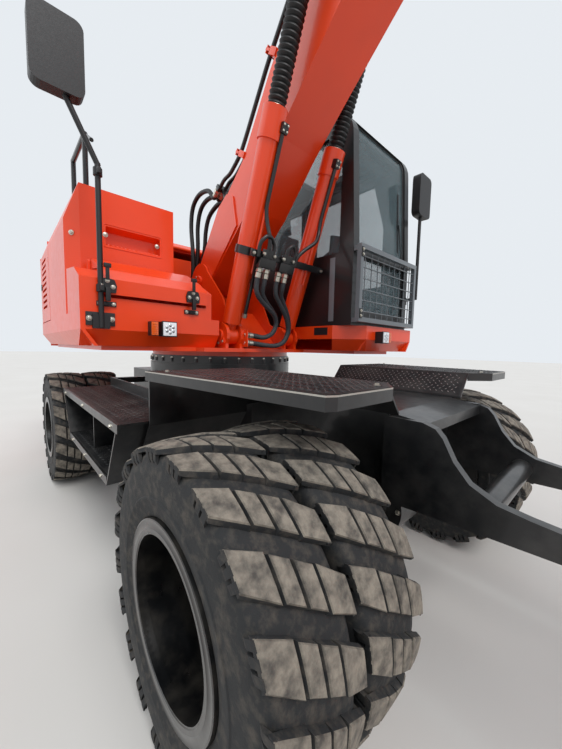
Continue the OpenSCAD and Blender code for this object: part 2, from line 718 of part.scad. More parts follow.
// Side profile of the tool box, then of the lid on it
cap_w = 112;
lid_hinge = [tank_x + 62, 1850];
lid_y0 = tool_y0 + cap_w + 5;
lid_y1 = tool_y1 - 47;
module toolbox() {
  z0 = deck_z1 + touch;
  x0 = tank_x + touch;
  front = tool_x - 4;
  wall = 30;
  color(red) difference() {
    union() {
      side(tool_y0, tool_y1) polygon([
        [x0, z0], [front, z0], [front, 1700], [front - 130, 1765], [x0, 1795]
      ]);
      // Hinge lugs and pin of the lid
      for (y = [lid_y0 - 17, lid_y1 + 3]) {
        brick(lid_hinge.x - 12, lid_hinge.x + 12, y, y + 14, 1775, lid_hinge.y);
        cross(lid_hinge, 12, y, y + 14);
      }
    }
    side(tool_y0 + wall, tool_y1 - wall) polygon([
      [x0 + wall, z0 + 25], [front - wall, z0 + 25], [front - wall, 1690], [front - 150, 1745], [x0 + wall, 1765]
    ]);
    // Mouth under the lid, in the front and the top
    side(tool_y0 + cap_w, tool_y1 - 42) polygon([
      [x0 + 60, 1700], [front - wall - 1, 1600], [front + 10, 1600], [front + 10, 1840], [x0 + 60, 1840]
    ]);
  }
  color(red) cross(lid_hinge, 6, lid_y0 - 16, lid_y1 + 16);
}
module toolbox_lid() {
  front = tool_x - 4;
  y0 = lid_y0;
  y1 = lid_y1;
  color(red) difference() {
    union() {
    side(y0, y1) polygon([
      lid_hinge + [0, -10], lid_hinge + [0, 12], lid_hinge + [40, 12], [front - 70, 1768], [front + 22, 1700],
      [front + 22, 1616], [front + 6, 1616], [front + 6, 1692], [front - 78, 1752], lid_hinge + [34, -10]
    ]);
    cross(lid_hinge, 12, y0, y1);
    // Cheeks that close the lid's ends above the box
    for (y = [y0, y1 - 14]) side(y, y + 14) polygon([
      lid_hinge + [12, 1], [lid_hinge.x + 12, 1803], [front - 128, 1781], [front + 1, 1713], [front - 74, 1758],
      lid_hinge + [37, 1]
    ]);
    }
    cross(lid_hinge, 6 + run, y0 - 1, y1 + 1);
  }
}

// Cab
cab_y1 = half_w - 5;
cab_z0 = deck_z1 + touch;
sill_z = 1600;
// Side profile of the cab, drawn in by d all round
module cab_profile(d) {
  r = 230;
  polygon(concat(
    [[cab_x0 + d, cab_z0 + d], [cab_x1 - d, cab_z0 + d], [cab_x1 - d, 2150]],
    arc([cab_x1 - 40 - r, cab_z1 - r], r - d, 0, 90, 8),
    arc([cab_x0 + 120, cab_z1 - 120], 120 - d, 90, 180, 4)
  ));
}
door_y = cab_y1 - 45;
cab_door_x0 = -60;
cab_door_x1 = 1010;
cab_door_z1 = 3020;
pane_x0 = 60;
hinge_z = [1800, 2700];
hinge_h = 110;
module cab_door_outline(d) {
  polygon([
    [cab_door_x0 + d, sill_z + d], [cab_door_x1 - d, sill_z + d], [cab_door_x1 - d, 2500],
    [cab_door_x1 - 60 - d, cab_door_z1 - 60], [cab_door_x1 - 160 - d, cab_door_z1 - d], [cab_door_x0 + d, cab_door_z1 - d]
  ]);
}
// Windows: name in words, then the cut, for the right side, rear, roof and front
module front_cut(y0, y1) { brick(cab_x1 - 330, cab_x1 + 20, y0, y1, 2100, 3030); }
module cab_shell() {
  color(dark) difference() {
    side(cab_y0, cab_y1) cab_profile(0);
    side(cab_y0 + cab_wall, cab_y1 - cab_wall) cab_profile(cab_wall);
    front_cut(cab_y0 + 70, cab_y1 - 70);
    brick(cab_x1 - 100, cab_x1 + 20, cab_y0 + 70, cab_y1 - 70, 1640, 2050);
    side(cab_y1 - cab_wall - 1, cab_y1 + 1) cab_door_outline(0);
    // Right side windows
    side(cab_y0 - 1, cab_y0 + cab_wall + 1) polygon([[-420, 2080], [1040, 2080], [1040, 2700], [900, 2960], [-420, 2960]]);
    // Left window behind the door
    brick(-440, -150, cab_y1 - cab_wall - 1, cab_y1 + 1, 2080, 2960);
    // Rear window and roof hatch
    brick(cab_x0 - 1, cab_x0 + cab_wall + 1, cab_y0 + 90, cab_y1 - 90, 2250, 2960);
    brick(100, 650, cab_y0 + 120, cab_y1 - 120, cab_z1 - cab_wall - 1, cab_z1 + 1);
  }
  // Door hinges: a lug on each side of the door's tubes, and their pins
  color(dark) for (z = hinge_z) {
    for (k = [z - 15, z + hinge_h + 3]) {
      brick(cab_door_x0 - 40, cab_door_x0, cab_y1 - 1, cab_y1 + 36, k, k + 12);
      translate([cab_door_x0, cab_y1 + 22, k]) cylinder(h = 12, r = 14);
    }
    translate([cab_door_x0, cab_y1 + 22, z - 10]) cylinder(h = hinge_h + 20, r = 8);
  }
}
module cab_glass() {
  g = touch;
  color("lightblue") {
    // Windscreen follows the shell's own curve
    difference() {
      intersection() {
        side(cab_y0 + 70 + g, cab_y1 - 70 - g) difference() {
          cab_profile(20);
          cab_profile(20 + glass_t);
        }
        brick(cab_x1 - 330 + g, cab_x1 + 20, cab_y0, cab_y1, 2100 + g, 3030 - g);
      }
    }
    brick(cab_x1 - 30, cab_x1 - 30 + glass_t, cab_y0 + 70 + g, cab_y1 - 70 - g, 1640 + g, 2050 - g);
    side(cab_y0 + 20, cab_y0 + 20 + glass_t) polygon([
      [-420 + g, 2080 + g], [1040 - g, 2080 + g], [1040 - g, 2700], [900 - g, 2960 - g], [-420 + g, 2960 - g]
    ]);
    brick(-440 + g, -150 - g, cab_y1 - 30, cab_y1 - 30 + glass_t, 2080 + g, 2960 - g);
    brick(cab_x0 + 20, cab_x0 + 20 + glass_t, cab_y0 + 90 + g, cab_y1 - 90 - g, 2250 + g, 2960 - g);
    brick(100 + g, 650 - g, cab_y0 + 120 + g, cab_y1 - 120 - g, cab_z1 - 30, cab_z1 - 30 + glass_t);
  }
}
module pane_outline(d) {
  polygon([
    [pane_x0 - d, 1950 - d], [cab_door_x1 - 80 + d, 1950 - d], [cab_door_x1 - 80 + d, 2500],
    [cab_door_x1 - 200 + d, cab_door_z1 - 90 + d], [pane_x0 - d, cab_door_z1 - 90 + d]
  ]);
}
module cab_door() {
  color(dark) difference() {
    union() {
      side(door_y, cab_y1) cab_door_outline(free);
      for (z = hinge_z) {
        translate([cab_door_x0, cab_y1 + 22, z]) cylinder(h = hinge_h, r = 16);
        brick(cab_door_x0 + free, cab_door_x0 + 70, cab_y1 - 1, cab_y1 + 22, z, z + hinge_h);
      }
      brick(cab_door_x1 - 60, cab_door_x1 - 30, cab_y1 - 1, cab_y1 + 20, 1960, 2100);
    }
    side(door_y - 1, cab_y1 + 1) pane_outline(0);
    for (z = hinge_z) translate([cab_door_x0, cab_y1 + 22, z - 1]) cylinder(h = hinge_h + 2, r = 8 + run);
  }
}
module door_glass() {
  color("lightblue") side(cab_y1 - 30, cab_y1 - 30 + glass_t) pane_outline(-touch);
}
module seat() {
  color("black") {
    brick(20, 300, 680, 960, cab_z0 + cab_wall + touch, 1860);
    brick(-60, 470, 590, 1050, 1860, 1990);
    side(600, 1040) polygon([[-60, 1989], [60, 1989], [-20, 2600], [-130, 2600]]);
    side(700, 940) polygon([[-125, 2599], [-35, 2599], [-60, 2790], [-140, 2790]]);
    both_arms();
  }
}
module both_arms() {
  for (y = [510, 1056]) brick(-20, 400, y, y + 74, 2020, 2130);
  for (y = [510, 1045]) brick(-20, 40, y, y + 85, 1900, 2021);
}
module console() {
  color("black") {
    side(770, 870) polygon([
      [800, cab_z0 + cab_wall + touch], [900, cab_z0 + cab_wall + touch], [760, 2160], [680, 2140]
    ]);
    translate([700, 820, 2160]) rotate([0, -25, 0]) difference() {
      cylinder(h = 26, r = 190);
      translate([0, 0, -1]) cylinder(h = 28, r = 160);
    }
    translate([700, 820, 2160]) rotate([0, -25, 0]) {
      translate([-175, -16, 2]) cube([350, 32, 20]);
      translate([0, 0, -14]) cylinder(h = 34, r = 40);
    }
  }
}
guard_y0 = deck_in;
guard_y1 = 1235;
module cab_guard() {
  x = cab_x1 + 50;
  z0 = 1545;
  z1 = 2100;
  bar = 34;
  color("gray") {
    difference() {
      brick(x, x + bar, guard_y0, guard_y1, z0, z1);
      brick(x - 1, x + bar + 1, guard_y0 + bar, guard_y1 - bar, z0 + bar, z1 - bar);
    }
    // Mesh of round bars
    for (i = [1:9]) translate([x + 12, guard_y0 + i * (guard_y1 - guard_y0) / 10, z0 + bar - 1]) cylinder(h = z1 - z0 - 2 * bar + 2, r = 4, $fn = 6);
    for (i = [1:6]) cross([x + 20, z0 + i * (z1 - z0) / 7], 4, guard_y0 + bar - 1, guard_y1 - bar + 1, $fn = 6);
    // Arms to the cab's corner posts
    for (y = [cab_y0 + 5, cab_y1 - 50], z = [z0, z1 - bar]) brick(cab_x1 + touch, x + 1, y, y + 40, z, z + bar);
  }
}
mirror_z = 2720;
module mirror_head(x, s) {
  // Rounded head with its glass facing back
  color("black") translate([x - 35, s * (mirror_y - 110), mirror_z]) rotate([90, 0, 90]) linear_extrude(70) polygon(concat(
    arc([70, 135], 40, 0, 90, 5), arc([-70, 135], 40, 90, 180, 5),
    arc([-70, -135], 40, 180, 270, 5), arc([70, -135], 40, 270, 360, 5)
  ));
}
// Round tube through a list of points, mitred where it bends
module tube(points, r) {
  last = len(points) - 2;
  for (i = [0:last]) {
    d = points[i + 1] - points[i];
    u = d / norm(d);
    a = points[i] - (i > 0 ? 0.5 * r : 0) * u;
    b = points[i + 1] + (i < last ? 0.5 * r : 0) * u;
    translate(a) rotate([0, acos(u.z), atan2(u.y, u.x)]) cylinder(h = norm(b - a), r = r);
  }
}
pole_x = tool_x + 20;
module mirrors() {
  color("black") {
    mirror_head(pole_x, -1);
    tube([[pole_x, -1148, 1430], [pole_x, -1148, 2280], [pole_x, 95 - mirror_y, 2640]], 14);
    brick(tool_x + touch, pole_x + 4, -1190, -1106, 1425, 1500);
    mirror_head(cab_x1 + 60, 1);
    tube([[cab_x1 - 30, cab_y1 + 22, 1800], [cab_x1 + 60, cab_y1 + 60, 1840]], 11);
    tube([[cab_x1 + 60, cab_y1 + 60, 1812], [cab_x1 + 60, cab_y1 + 60, 2620]], 14);
    brick(cab_x1 - 66, cab_x1 - 10, cab_y1 + touch, cab_y1 + 36, 1768, 1833);
  }
}
module grab_rails() {
  y = 130 - half_w;
  color("black") {
    tube([[tank_x - 60, y, hood_z + touch], [tank_x - 60, y, hood_z + 330], [tank_x - 460, y, hood_z + 330], [tank_x - 460, y, hood_z + touch]], 16);
    tube([[tank_x - 60, y, hood_z + 330], [pole_x - 19.5, -1168, 2402]], 10);
    tube([[cab_x1 - 130, cab_y1 + 8, 1750], [cab_x1 - 130, cab_y1 + 60, 1800], [cab_x1 - 130, cab_y1 + 60, 2250], [cab_x1 - 130, cab_y1 + 8, 2300]], 12);
  }
}
module lamp_box(x, y, z) {
  color("white") {
    brick(x + touch, x + 60, y - 45, y + 45, z - 45, z + 45);
    translate([x + 59, y, z]) rotate([0, 90, 0]) cylinder(h = 8, r = 38);
  }
}
module lamps() {
  z = 1440;
  lamp_box(tool_x, -787, z);
  color("orange") brick(tool_x + touch, tool_x + 50, -895, -850, z - 42, z + 42);
  lamp_box(cab_deck_x, 690, z);
  color("orange") brick(cab_deck_x + touch, cab_deck_x + 50, 753, 798, z - 42, z + 42);
  // On the roof
  for (y = [cab_y0 + 120, cab_y1 - 120]) {
    lamp_box(cab_x1 - 315, y, cab_z1 + 49);
    color("white") brick(cab_x1 - 300, cab_x1 - 275, y - 10, y + 10, cab_z1 + touch, cab_z1 + 5);
  }
}
module exhaust() {
  color("black") {
    translate([-1500, -820, hood_z - 10 + touch]) cylinder(h = 290, r = 45);
    translate([-1500, -820, hood_z + 270]) cylinder(h = 60, r1 = 45, r2 = 52);
  }
}

// Boom, arm and bucket, each drawn in its own axes and set at its pivot
fork = 520;
stick_gap = 80;
crowd_gap = 68;
rod_gap = 60;
plate = 35;
module boom() {
  foot_r = 115;
  tip_r = 130;
  nose_x = boom_l - fork;
  // Underside from the foot to the head, then the top from the head back
  under = [[805, 72], [1250, 245], [1640, 358], [2080, 478], [2400, 545], [2700, 560], [3050, 520], [4300, 230]];
  top = [
    [4300, 620], [3350, 965], [3000, 1088], [2820, 1135], [2620, 1152], [2420, 1135], [2200, 1070], [1900, 925],
    [1658, 803], [1363, 685], [902, 430], [640, 372]
  ];
  color(red) along(foot, boom_a) difference() {
    union() {
      side(-boom_w, boom_w) polygon(concat(
        arc([0, 0], foot_r, 130, 290, 8), under, arc([boom_l, 0], tip_r, -75, 75, 8), top
      ));
      // Cheeks on the foot casting
      both() side(boom_w - 1, ear_y - free) polygon(concat(
        arc([0, 0], foot_r - 2, 115, 285, 8), [[640, 60], [700, 290], [640, 366], [500, 360]]
      ));
      // Bosses for the lifting cylinders, and for the arm's pivot
      cross(ram_eye_b, 92, -(ram_y - 40 - free), ram_y - 40 - free);
      cross([boom_l, 0], 100, -boom_w - 30, boom_w + 30);
      // Bracket of the arm cylinder
      both() side(stick_gap, stick_gap + plate) strap(stick_foot_b, 78, stick_foot_b + [-60, -200], 170);
    }
    cross([0, 0], pin_r + run, -400, 400);
    cross([boom_l, 0], pin_r + 10 + run, -400, 400);
    // Fork for the arm
    side(-arm_w - free - 1, arm_w + free + 1) polygon([
      [nose_x, -400], [boom_l + 200, -400], [boom_l + 200, 400], [nose_x, 400]
    ]);
    side(-stick_gap, stick_gap) polygon(concat(
      arc(stick_foot_b, 86, 0, 180, 8), [stick_foot_b + [-86, -90], stick_foot_b + [86, -90]]
    ));
  }
  color(red) along(foot, boom_a) cross(stick_foot_b, pin_r, -stick_gap - plate - 15, stick_gap + plate + 15);
}
module arm() {
  tail = -415;
  outer = [[-430, 150], [-250, 300], [-40, 380], [260, 360], [900, 270], [2260, 105]];
  inner = [[2260, -105], [600, -170], [0, -230], [-400, -210]];
  color(red) along(tip, arm_a) difference() {
    union() {
      side(-arm_w, arm_w) polygon(concat(outer, arc([arm_l, 0], 105, 80, -80, 8), inner));
      // Tail plates for the arm cylinder's eye
      both() side(rod_gap, rod_gap + plate) strap(stick_eye_a, 92, [-200, 60], 230);
      // Bracket of the bucket cylinder
      both() side(crowd_gap, crowd_gap + plate) strap(crowd_foot_a, bracket_r, crowd_foot_a + [60, -170], 160);
      cross([arm_l, 0], 85, -arm_w - 16, arm_w + 16);
      cross(rock_a, 60, -arm_w - 5, arm_w + 5);
      // Pivot pin in the boom's fork
      cross([0, 0], pin_r + 10, -boom_w - 42, boom_w + 42);
    }
    cross([arm_l, 0], pin_r + run, -400, 400);
    cross(rock_a, 32 + run, -400, 400);
    // Room for the cylinders' eyes
    side(-crowd_gap, crowd_gap) polygon(concat(
      arc(crowd_foot_a, eye_r + 8, 0, 180, 8), [crowd_foot_a + [-83, -66], crowd_foot_a + [83, -66]]
    ));
    side(-rod_gap, rod_gap) polygon([[-900, -500], [tail, -500], [tail, 500], [-900, 500]]);
  }
  color(red) along(tip, arm_a) {
    cross(crowd_foot_a, pin_r, -crowd_gap - plate - 15, crowd_gap + plate + 15);
    both() cross(stick_eye_a, pin_r, rod_gap + plate - 1, rod_gap + plate + 15);
  }
}
// Bucket, with the teeth along its own X axis
lug_b = lug_r * [cos(arm_a + lug_a - bucket_a), sin(arm_a + lug_a - bucket_a)];
bucket_out = [
  [1300, 60], [1270, 200], [1220, 350], [1140, 500], [1030, 640], [900, 755], [750, 835], [580, 875], [400, 880],
  [220, 855], [60, 805], [-90, 730], [-250, 610]
];
module bucket() {
  tooth_w = 76;
  ear_y0 = arm_w + 25;
  t = bucket_t;
  // Hollow: the outline shrunk about a point in the mouth
  hollow = [for (p = bucket_out) let (c = [480, 180], d = p - c) c + d * (1 - t / norm(d))];
  n = len(hollow);
  color(red) along(bucket_pin, bucket_a) difference() {
    union() {
      // Wrapper: the outline less the hollow
      side(-bucket_w, bucket_w) difference() {
        polygon(concat(bucket_out, [[-250, 570], [215, 115], [232, 95], [280, 95]]));
        polygon(concat([[1400, -20]], [for (i = [0:n - 2]) hollow[i]], [[-60, 712], [-205, 590], [240, 150], [330, -20]]));
      }
      both() side(bucket_w - t, bucket_w) polygon(concat([[1340, 20]], bucket_out, [[-250, 570], [215, 115], [300, 60]]));
      // Cutting edge
      side(-bucket_w - 20, bucket_w + 20) polygon([[1215, 290], [1240, 340], [1345, 30], [1322, 12]]);
      // Ears
      both() side(ear_y0, ear_y0 + 40) polygon(concat(
        arc([0, 0], 112, -20, -150, 6), arc(lug_b, 90, 220, 70, 6), [[-230, 592], [226, 118]]
      ));
      // Teeth
      for (i = [0:4]) translate([0, (i - 2) * (2 * bucket_w - tooth_w) / 4, 0])
        side(-tooth_w / 2, tooth_w / 2) polygon([
          [1235, 140], [1330, 130], [bucket_r, -8], [bucket_r, -22], [1310, 8], [1280, 60]
        ]);
      cross([0, 0], pin_r, -ear_y0 - 50, ear_y0 + 50);
      both() cross(lug_b, pin_r, ear_y0 + 1, ear_y0 + 50);
    }
  }
}

// Cylinders: a barrel with a foot eye and a bore for its rod, drawn along X
module barrel(len, r, foot_half, start, y = 0) {
  difference() {
    union() {
      cross([0, 0], eye_r - 9, y - foot_half, y + foot_half);
      lengthwise(30, start + 1, y, 0, foot_half - 1);
      lengthwise(start, len, y, 0, r);
      lengthwise(len - 170, len, y, 0, r + 10);
    }
    cross([0, 0], pin_r + run, y - foot_half - 1, y + foot_half + 1);
    lengthwise(start + 14, len + 1, y, 0, rod_r + run);
  }
}
// A rod whose eye is at eye_x, with its tail at tail_x
module rod(tail_x, eye_x, eye_half, y = 0) {
  lengthwise(tail_x, eye_x - 40, y, 0, rod_r);
  cross([eye_x, 0], eye_r, y - eye_half, y + eye_half);
}
module boom_barrels() {
  color(red) along(ram_foot, ram_a) both() {
    barrel(ram_l, ram_r, 44, ear_r + 9, ram_y);
    // Pipe along the barrel, from the head's port to the foot
    lengthwise(480, ram_l - 90, ram_y - 30, -ram_r - 10, 10);
    lengthwise(ram_l - 120, ram_l - 70, ram_y - 30, -ram_r - 8, 16);
  }
  // Clamp bands that carry the hoses
  color(red) along(ram_foot, ram_a) both() difference() {
    union() {
      lengthwise(590, 640, ram_y, 0, ram_r + 6);
      brick(590, 640, ram_y - 50, ram_y + 8, -ram_r - 26, -ram_r + 4);
    }
    lengthwise(589, 641, ram_y, 0, ram_r - 1);
  }
}
module boom_rods() {
  color("silver") along(ram_foot, ram_a) both() rod(ram_len - 1510, ram_len, 40, ram_y);
}
module rod_bellows() {
  folds = 30;
  len = ram_len - ram_l - eye_r - 20;
  pitch = len / folds;
  // Each fold is a ridge between two valleys
  color("black") along(ram_foot, ram_a) both()
    translate([ram_l + touch, ram_y, 0]) rotate([0, 90, 0]) rotate_extrude() polygon(concat(
      [[rod_r + touch, 0]],
      [for (i = [0:folds - 1], k = [[0, -12], [0.5, 0]]) [bellows_r + k[1], (i + k[0]) * pitch]],
      [[bellows_r - 12, len], [rod_r + touch, len]]
    ));
}
module arm_barrel() { color(red) along(stick_foot, stick_a) barrel(stick_l, 70, stick_gap - free, 90); }
module arm_rod() { color("silver") along(stick_foot, stick_a) rod(stick_len - 1850, stick_len, 54); }
module bucket_barrel() { color(red) along(crowd_foot, crowd_a) barrel(crowd_l, 60, crowd_gap - free, 96); }
module bucket_rod() { color("silver") along(crowd_foot, crowd_a) rod(crowd_len - 1355, crowd_len, 48); }
rock_y = arm_w + 10;
module rocker() {
  color(red) {
    both() side(rock_y, rock_y + 34) strap(rock_pin, 75, link_pin, 65);
    cross(rock_pin, 32, -rock_y - 44, rock_y + 44);
    both() cross(link_pin, 34, 56, rock_y + 44);
  }
}
module bucket_link() {
  color(red) difference() {
    union() {
      both() side(58, 106) strap(link_pin, 68, lug_pin, 66);
      cross(lug_pin, 58, -arm_w - 18, arm_w + 18);
    }
    cross(link_pin, 34 + run, -200, 200);
  }
}

place() chassis_frame();
place() slew_ring();
place() axles();
place() drive_line();
place() axle_rams();
place() front_fenders();
place() side_steps();
place() front_rest();
place() knuckle(-1);  // knuckle_right
place() knuckle(1);  // knuckle_left
place() tyres(front_axle_x, -1);  // tyres_front_right
place() tyres(front_axle_x, 1);  // tyres_front_left
place() tyres(-rear_axle_back, -1);  // tyres_rear_right
place() tyres(-rear_axle_back, 1);  // tyres_rear_left
place() rims(front_axle_x, -1);  // rims_front_right
place() rims(front_axle_x, 1);  // rims_front_left
place() rims(-rear_axle_back, -1);  // rims_rear_right
place() rims(-rear_axle_back, 1);  // rims_rear_left
place() upper_frame();
place() counterweight();
place() engine_block();
place() engine_housing();
place() engine_hood();
place() side_door(-1);  // side_door_right
place() side_door(1);  // side_door_left
place() fuel_tank();
place() toolbox();
place() toolbox_lid();
place() cab_shell();
place() cab_glass();
place() cab_door();
place() door_glass();
place() seat();
place() console();
place() cab_guard();
place() mirrors();
place() grab_rails();
place() lamps();
place() exhaust();
place() boom();
place() arm();
place() bucket();
place() boom_barrels();
place() boom_rods();
place() rod_bellows();
place() arm_barrel();
place() arm_rod();
place() bucket_barrel();
place() bucket_rod();
place() rocker();
place() bucket_link();
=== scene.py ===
import math
import random

import bmesh
import bpy
from mathutils import Matrix, Vector


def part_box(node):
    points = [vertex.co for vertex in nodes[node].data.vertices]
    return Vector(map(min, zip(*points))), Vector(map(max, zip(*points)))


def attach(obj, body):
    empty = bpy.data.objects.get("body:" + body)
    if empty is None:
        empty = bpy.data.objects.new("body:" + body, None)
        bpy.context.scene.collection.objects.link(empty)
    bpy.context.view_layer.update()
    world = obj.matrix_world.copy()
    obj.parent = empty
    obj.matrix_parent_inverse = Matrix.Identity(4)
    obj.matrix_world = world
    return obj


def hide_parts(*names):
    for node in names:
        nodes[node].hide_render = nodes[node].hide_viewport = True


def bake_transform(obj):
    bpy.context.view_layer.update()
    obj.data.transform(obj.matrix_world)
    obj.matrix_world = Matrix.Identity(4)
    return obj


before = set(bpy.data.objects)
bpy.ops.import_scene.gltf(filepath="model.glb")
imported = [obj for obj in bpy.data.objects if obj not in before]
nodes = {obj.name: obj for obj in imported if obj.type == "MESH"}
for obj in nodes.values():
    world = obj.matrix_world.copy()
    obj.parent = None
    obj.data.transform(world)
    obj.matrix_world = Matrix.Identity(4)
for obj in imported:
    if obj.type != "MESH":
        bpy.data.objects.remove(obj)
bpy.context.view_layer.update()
random.seed(7)
RAD = math.radians
UP = (0, 0, 1)
AHEAD = (1, 0, 0)

# The machine's own axes have their origin on the ground under the slewing ring
ring_lo, ring_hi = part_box("slew_ring")
SLEW_X = (ring_lo[0] + ring_hi[0]) / 2


def V(x, y, z):
    return Vector((x, y, z))


def M(x, y, z):
    """A point given in the machine's axes, in metres."""
    return V(x + SLEW_X, y, z)


def turned(x, y, z):
    """A matrix that turns the axes X, Y and Z to these directions."""
    return Matrix((x, y, z)).transposed().to_4x4()


def around(n, r, first=0):
    """Points (cosine, sine) of a circle, spaced evenly from an angle in degrees."""
    turns = [RAD(first + 360 * i / n) for i in range(n)]
    return [(r * math.cos(a), r * math.sin(a)) for a in turns]


class Axes:
    """The axes of a working part: u along it, w across it in the side plane, y to the left."""

    def __init__(self, origin, angle):
        self.o = origin
        self.u = V(math.cos(angle), 0, math.sin(angle))
        self.w = V(-math.sin(angle), 0, math.cos(angle))

    def at(self, u, y, w):
        return self.o + self.u * u + V(0, y, 0) + self.w * w

    def place(self, u=0, y=0, w=0):
        """A matrix whose X, Y and Z are these axes at a point."""
        return Matrix.Translation(self.at(u, y, w)) @ turned(self.u, V(0, 1, 0), self.w)


def angle_to(p, q):
    return math.atan2(q.z - p.z, q.x - p.x)


def meet(p, rp, q, rq):
    """Where two circles in the side plane meet, on the left of the way from p to q."""
    d = (q - p).length
    a = angle_to(p, q) + math.acos((rp * rp + d * d - rq * rq) / (2 * rp * d))
    return p + V(rp * math.cos(a), 0, rp * math.sin(a))


# Pivots, as in the part's source
BOOM = Axes(M(-0.05, 0, 1.925), RAD(27))
ARM = Axes(BOOM.at(5.7, 0, 0), RAD(-100))
BUCKET = Axes(ARM.at(2.4, 0, 0), RAD(-140))
RAM_FOOT = M(0.55, 0, 1.425)
RAM_EYE = BOOM.at(2.069, 0, 0.912)
LIFT = Axes(RAM_FOOT, angle_to(RAM_FOOT, RAM_EYE))
STICK_FOOT = BOOM.at(3.0, 0, 1.235)
STICK_EYE = ARM.at(-0.673, 0, 0.193)
STICK = Axes(STICK_FOOT, angle_to(STICK_FOOT, STICK_EYE))
ROCK_PIN = ARM.at(1.96, 0, 0.04)
LUG_PIN = BUCKET.o + V(0.4 * math.cos(RAD(-10)), 0, 0.4 * math.sin(RAD(-10)))
LINK_PIN = meet(ROCK_PIN, 0.5, LUG_PIN, 0.52)
CROWD_FOOT = ARM.at(0.06, 0, 0.47)

# Other sizes of the machine
RAM_Y = 0.285
RAM_R = 0.068
RAM_L = 1.43
DECK_Z0 = 1.33
HOOD_Z = 2.33
TOOL_X = 0.6
TANK_X = 0.22
CAB_X0, CAB_X1 = -0.6, 1.17
CAB_Y0, CAB_Y1 = 0.385, 1.24
CAB_Z1 = 3.13
CAB_DECK_X = 1.225
TYRE_R, TYRE_W = 0.526, 0.278
PAIR_Y, PAIR_PITCH = 0.957, 0.3
AXLE_X = {"front": 1.7, "rear": -1.15}


# Camera

PHOTO_W = 562
FOCAL_PX = 308.4
CAMERA_AT = M(2.548, -1.57, 1.338)
YAW, PITCH, ROLL = RAD(42.44), RAD(4.86), RAD(-1.26)


def make_camera():
    data = bpy.data.cameras.new("camera")
    data.sensor_fit = "HORIZONTAL"
    data.sensor_width = 36
    data.lens = FOCAL_PX / PHOTO_W * data.sensor_width
    data.clip_start = 0.05
    look = V(-math.cos(YAW) * math.cos(PITCH), math.sin(YAW) * math.cos(PITCH), -math.sin(PITCH))
    level = V(math.sin(YAW), math.cos(YAW), 0)
    up = level.cross(look)
    right = math.cos(ROLL) * level - math.sin(ROLL) * up
    top = math.sin(ROLL) * level + math.cos(ROLL) * up
    cam = bpy.data.objects.new("camera", data)
    bpy.context.collection.objects.link(cam)
    cam.matrix_world = Matrix.Translation(CAMERA_AT) @ turned(right, top, -look)
    bpy.context.scene.camera = cam
    bpy.context.scene.view_settings.view_transform = "Standard"


make_camera()


# Materials


def srgb(r, g, b):
    """Linear colour of an 8-bit sRGB one."""
    def one(c):
        c = c / 255
        return c / 12.92 if c <= 0.04045 else ((c + 0.055) / 1.055) ** 2.4
    return one(r), one(g), one(b), 1


def scaled(c, k):
    return tuple(min(1, x * k) for x in c[:3]) + (1,)


class Surface:
    """A node material that is built up in a few calls."""

    def __init__(self, name, **sockets):
        self.material = bpy.data.materials.new(name)
        self.material.use_nodes = True
        self.tree = self.material.node_tree
        self.shader = self.tree.nodes["Principled BSDF"]
        for k, v in sockets.items():
            self.shader.inputs[k.replace("_", " ")].default_value = v
        self.place = self.node("ShaderNodeTexCoord").outputs["Object"]

    def node(self, kind, **props):
        n = self.tree.nodes.new(kind)
        for k, v in props.items():
            setattr(n, k, v)
        return n

    def link(self, a, b):
        self.tree.links.new(a, b)

    def put(self, value, socket):
        if isinstance(value, (tuple, float, int)):
            socket.default_value = value
        else:
            self.link(value, socket)

    def noise(self, scale, detail=4, rough=0.55):
        n = self.node("ShaderNodeTexNoise")
        n.inputs["Scale"].default_value = scale
        n.inputs["Detail"].default_value = detail
        n.inputs["Roughness"].default_value = rough
        self.link(self.place, n.inputs["Vector"])
        return n.outputs["Fac"]

    def step(self, value, lo, hi):
        """0 where value is lo or less, 1 where it is hi or more."""
        n = self.node("ShaderNodeMapRange", clamp=True)
        n.inputs["From Min"].default_value = lo
        n.inputs["From Max"].default_value = hi
        self.link(value, n.inputs["Value"])
        return n.outputs["Result"]

    def mix(self, share, a, b):
        n = self.node("ShaderNodeMix", data_type="RGBA")
        self.put(share, n.inputs[0])
        self.put(a, n.inputs[6])
        self.put(b, n.inputs[7])
        return n.outputs[2]

    def calc(self, operation, a, b=0.5):
        n = self.node("ShaderNodeMath", operation=operation, use_clamp=True)
        self.put(a, n.inputs[0])
        self.put(b, n.inputs[1])
        return n.outputs[0]

    def height(self):
        n = self.node("ShaderNodeSeparateXYZ")
        self.link(self.place, n.inputs["Vector"])
        return n.outputs["Z"]

    def facing_up(self):
        g = self.node("ShaderNodeNewGeometry")
        n = self.node("ShaderNodeSeparateXYZ")
        self.link(g.outputs["Normal"], n.inputs["Vector"])
        return n.outputs["Z"]

    def colour(self, c):
        self.link(c, self.shader.inputs["Base Color"])

    def roughness(self, share, lo, hi):
        n = self.node("ShaderNodeMapRange")
        n.inputs["To Min"].default_value = lo
        n.inputs["To Max"].default_value = hi
        self.link(share, n.inputs["Value"])
        self.link(n.outputs["Result"], self.shader.inputs["Roughness"])

    def bump(self, height, strength=0.2, distance=0.002):
        n = self.node("ShaderNodeBump")
        n.inputs["Strength"].default_value = strength
        n.inputs["Distance"].default_value = distance
        self.link(height, n.inputs["Height"])
        self.link(n.outputs["Normal"], self.shader.inputs["Normal"])


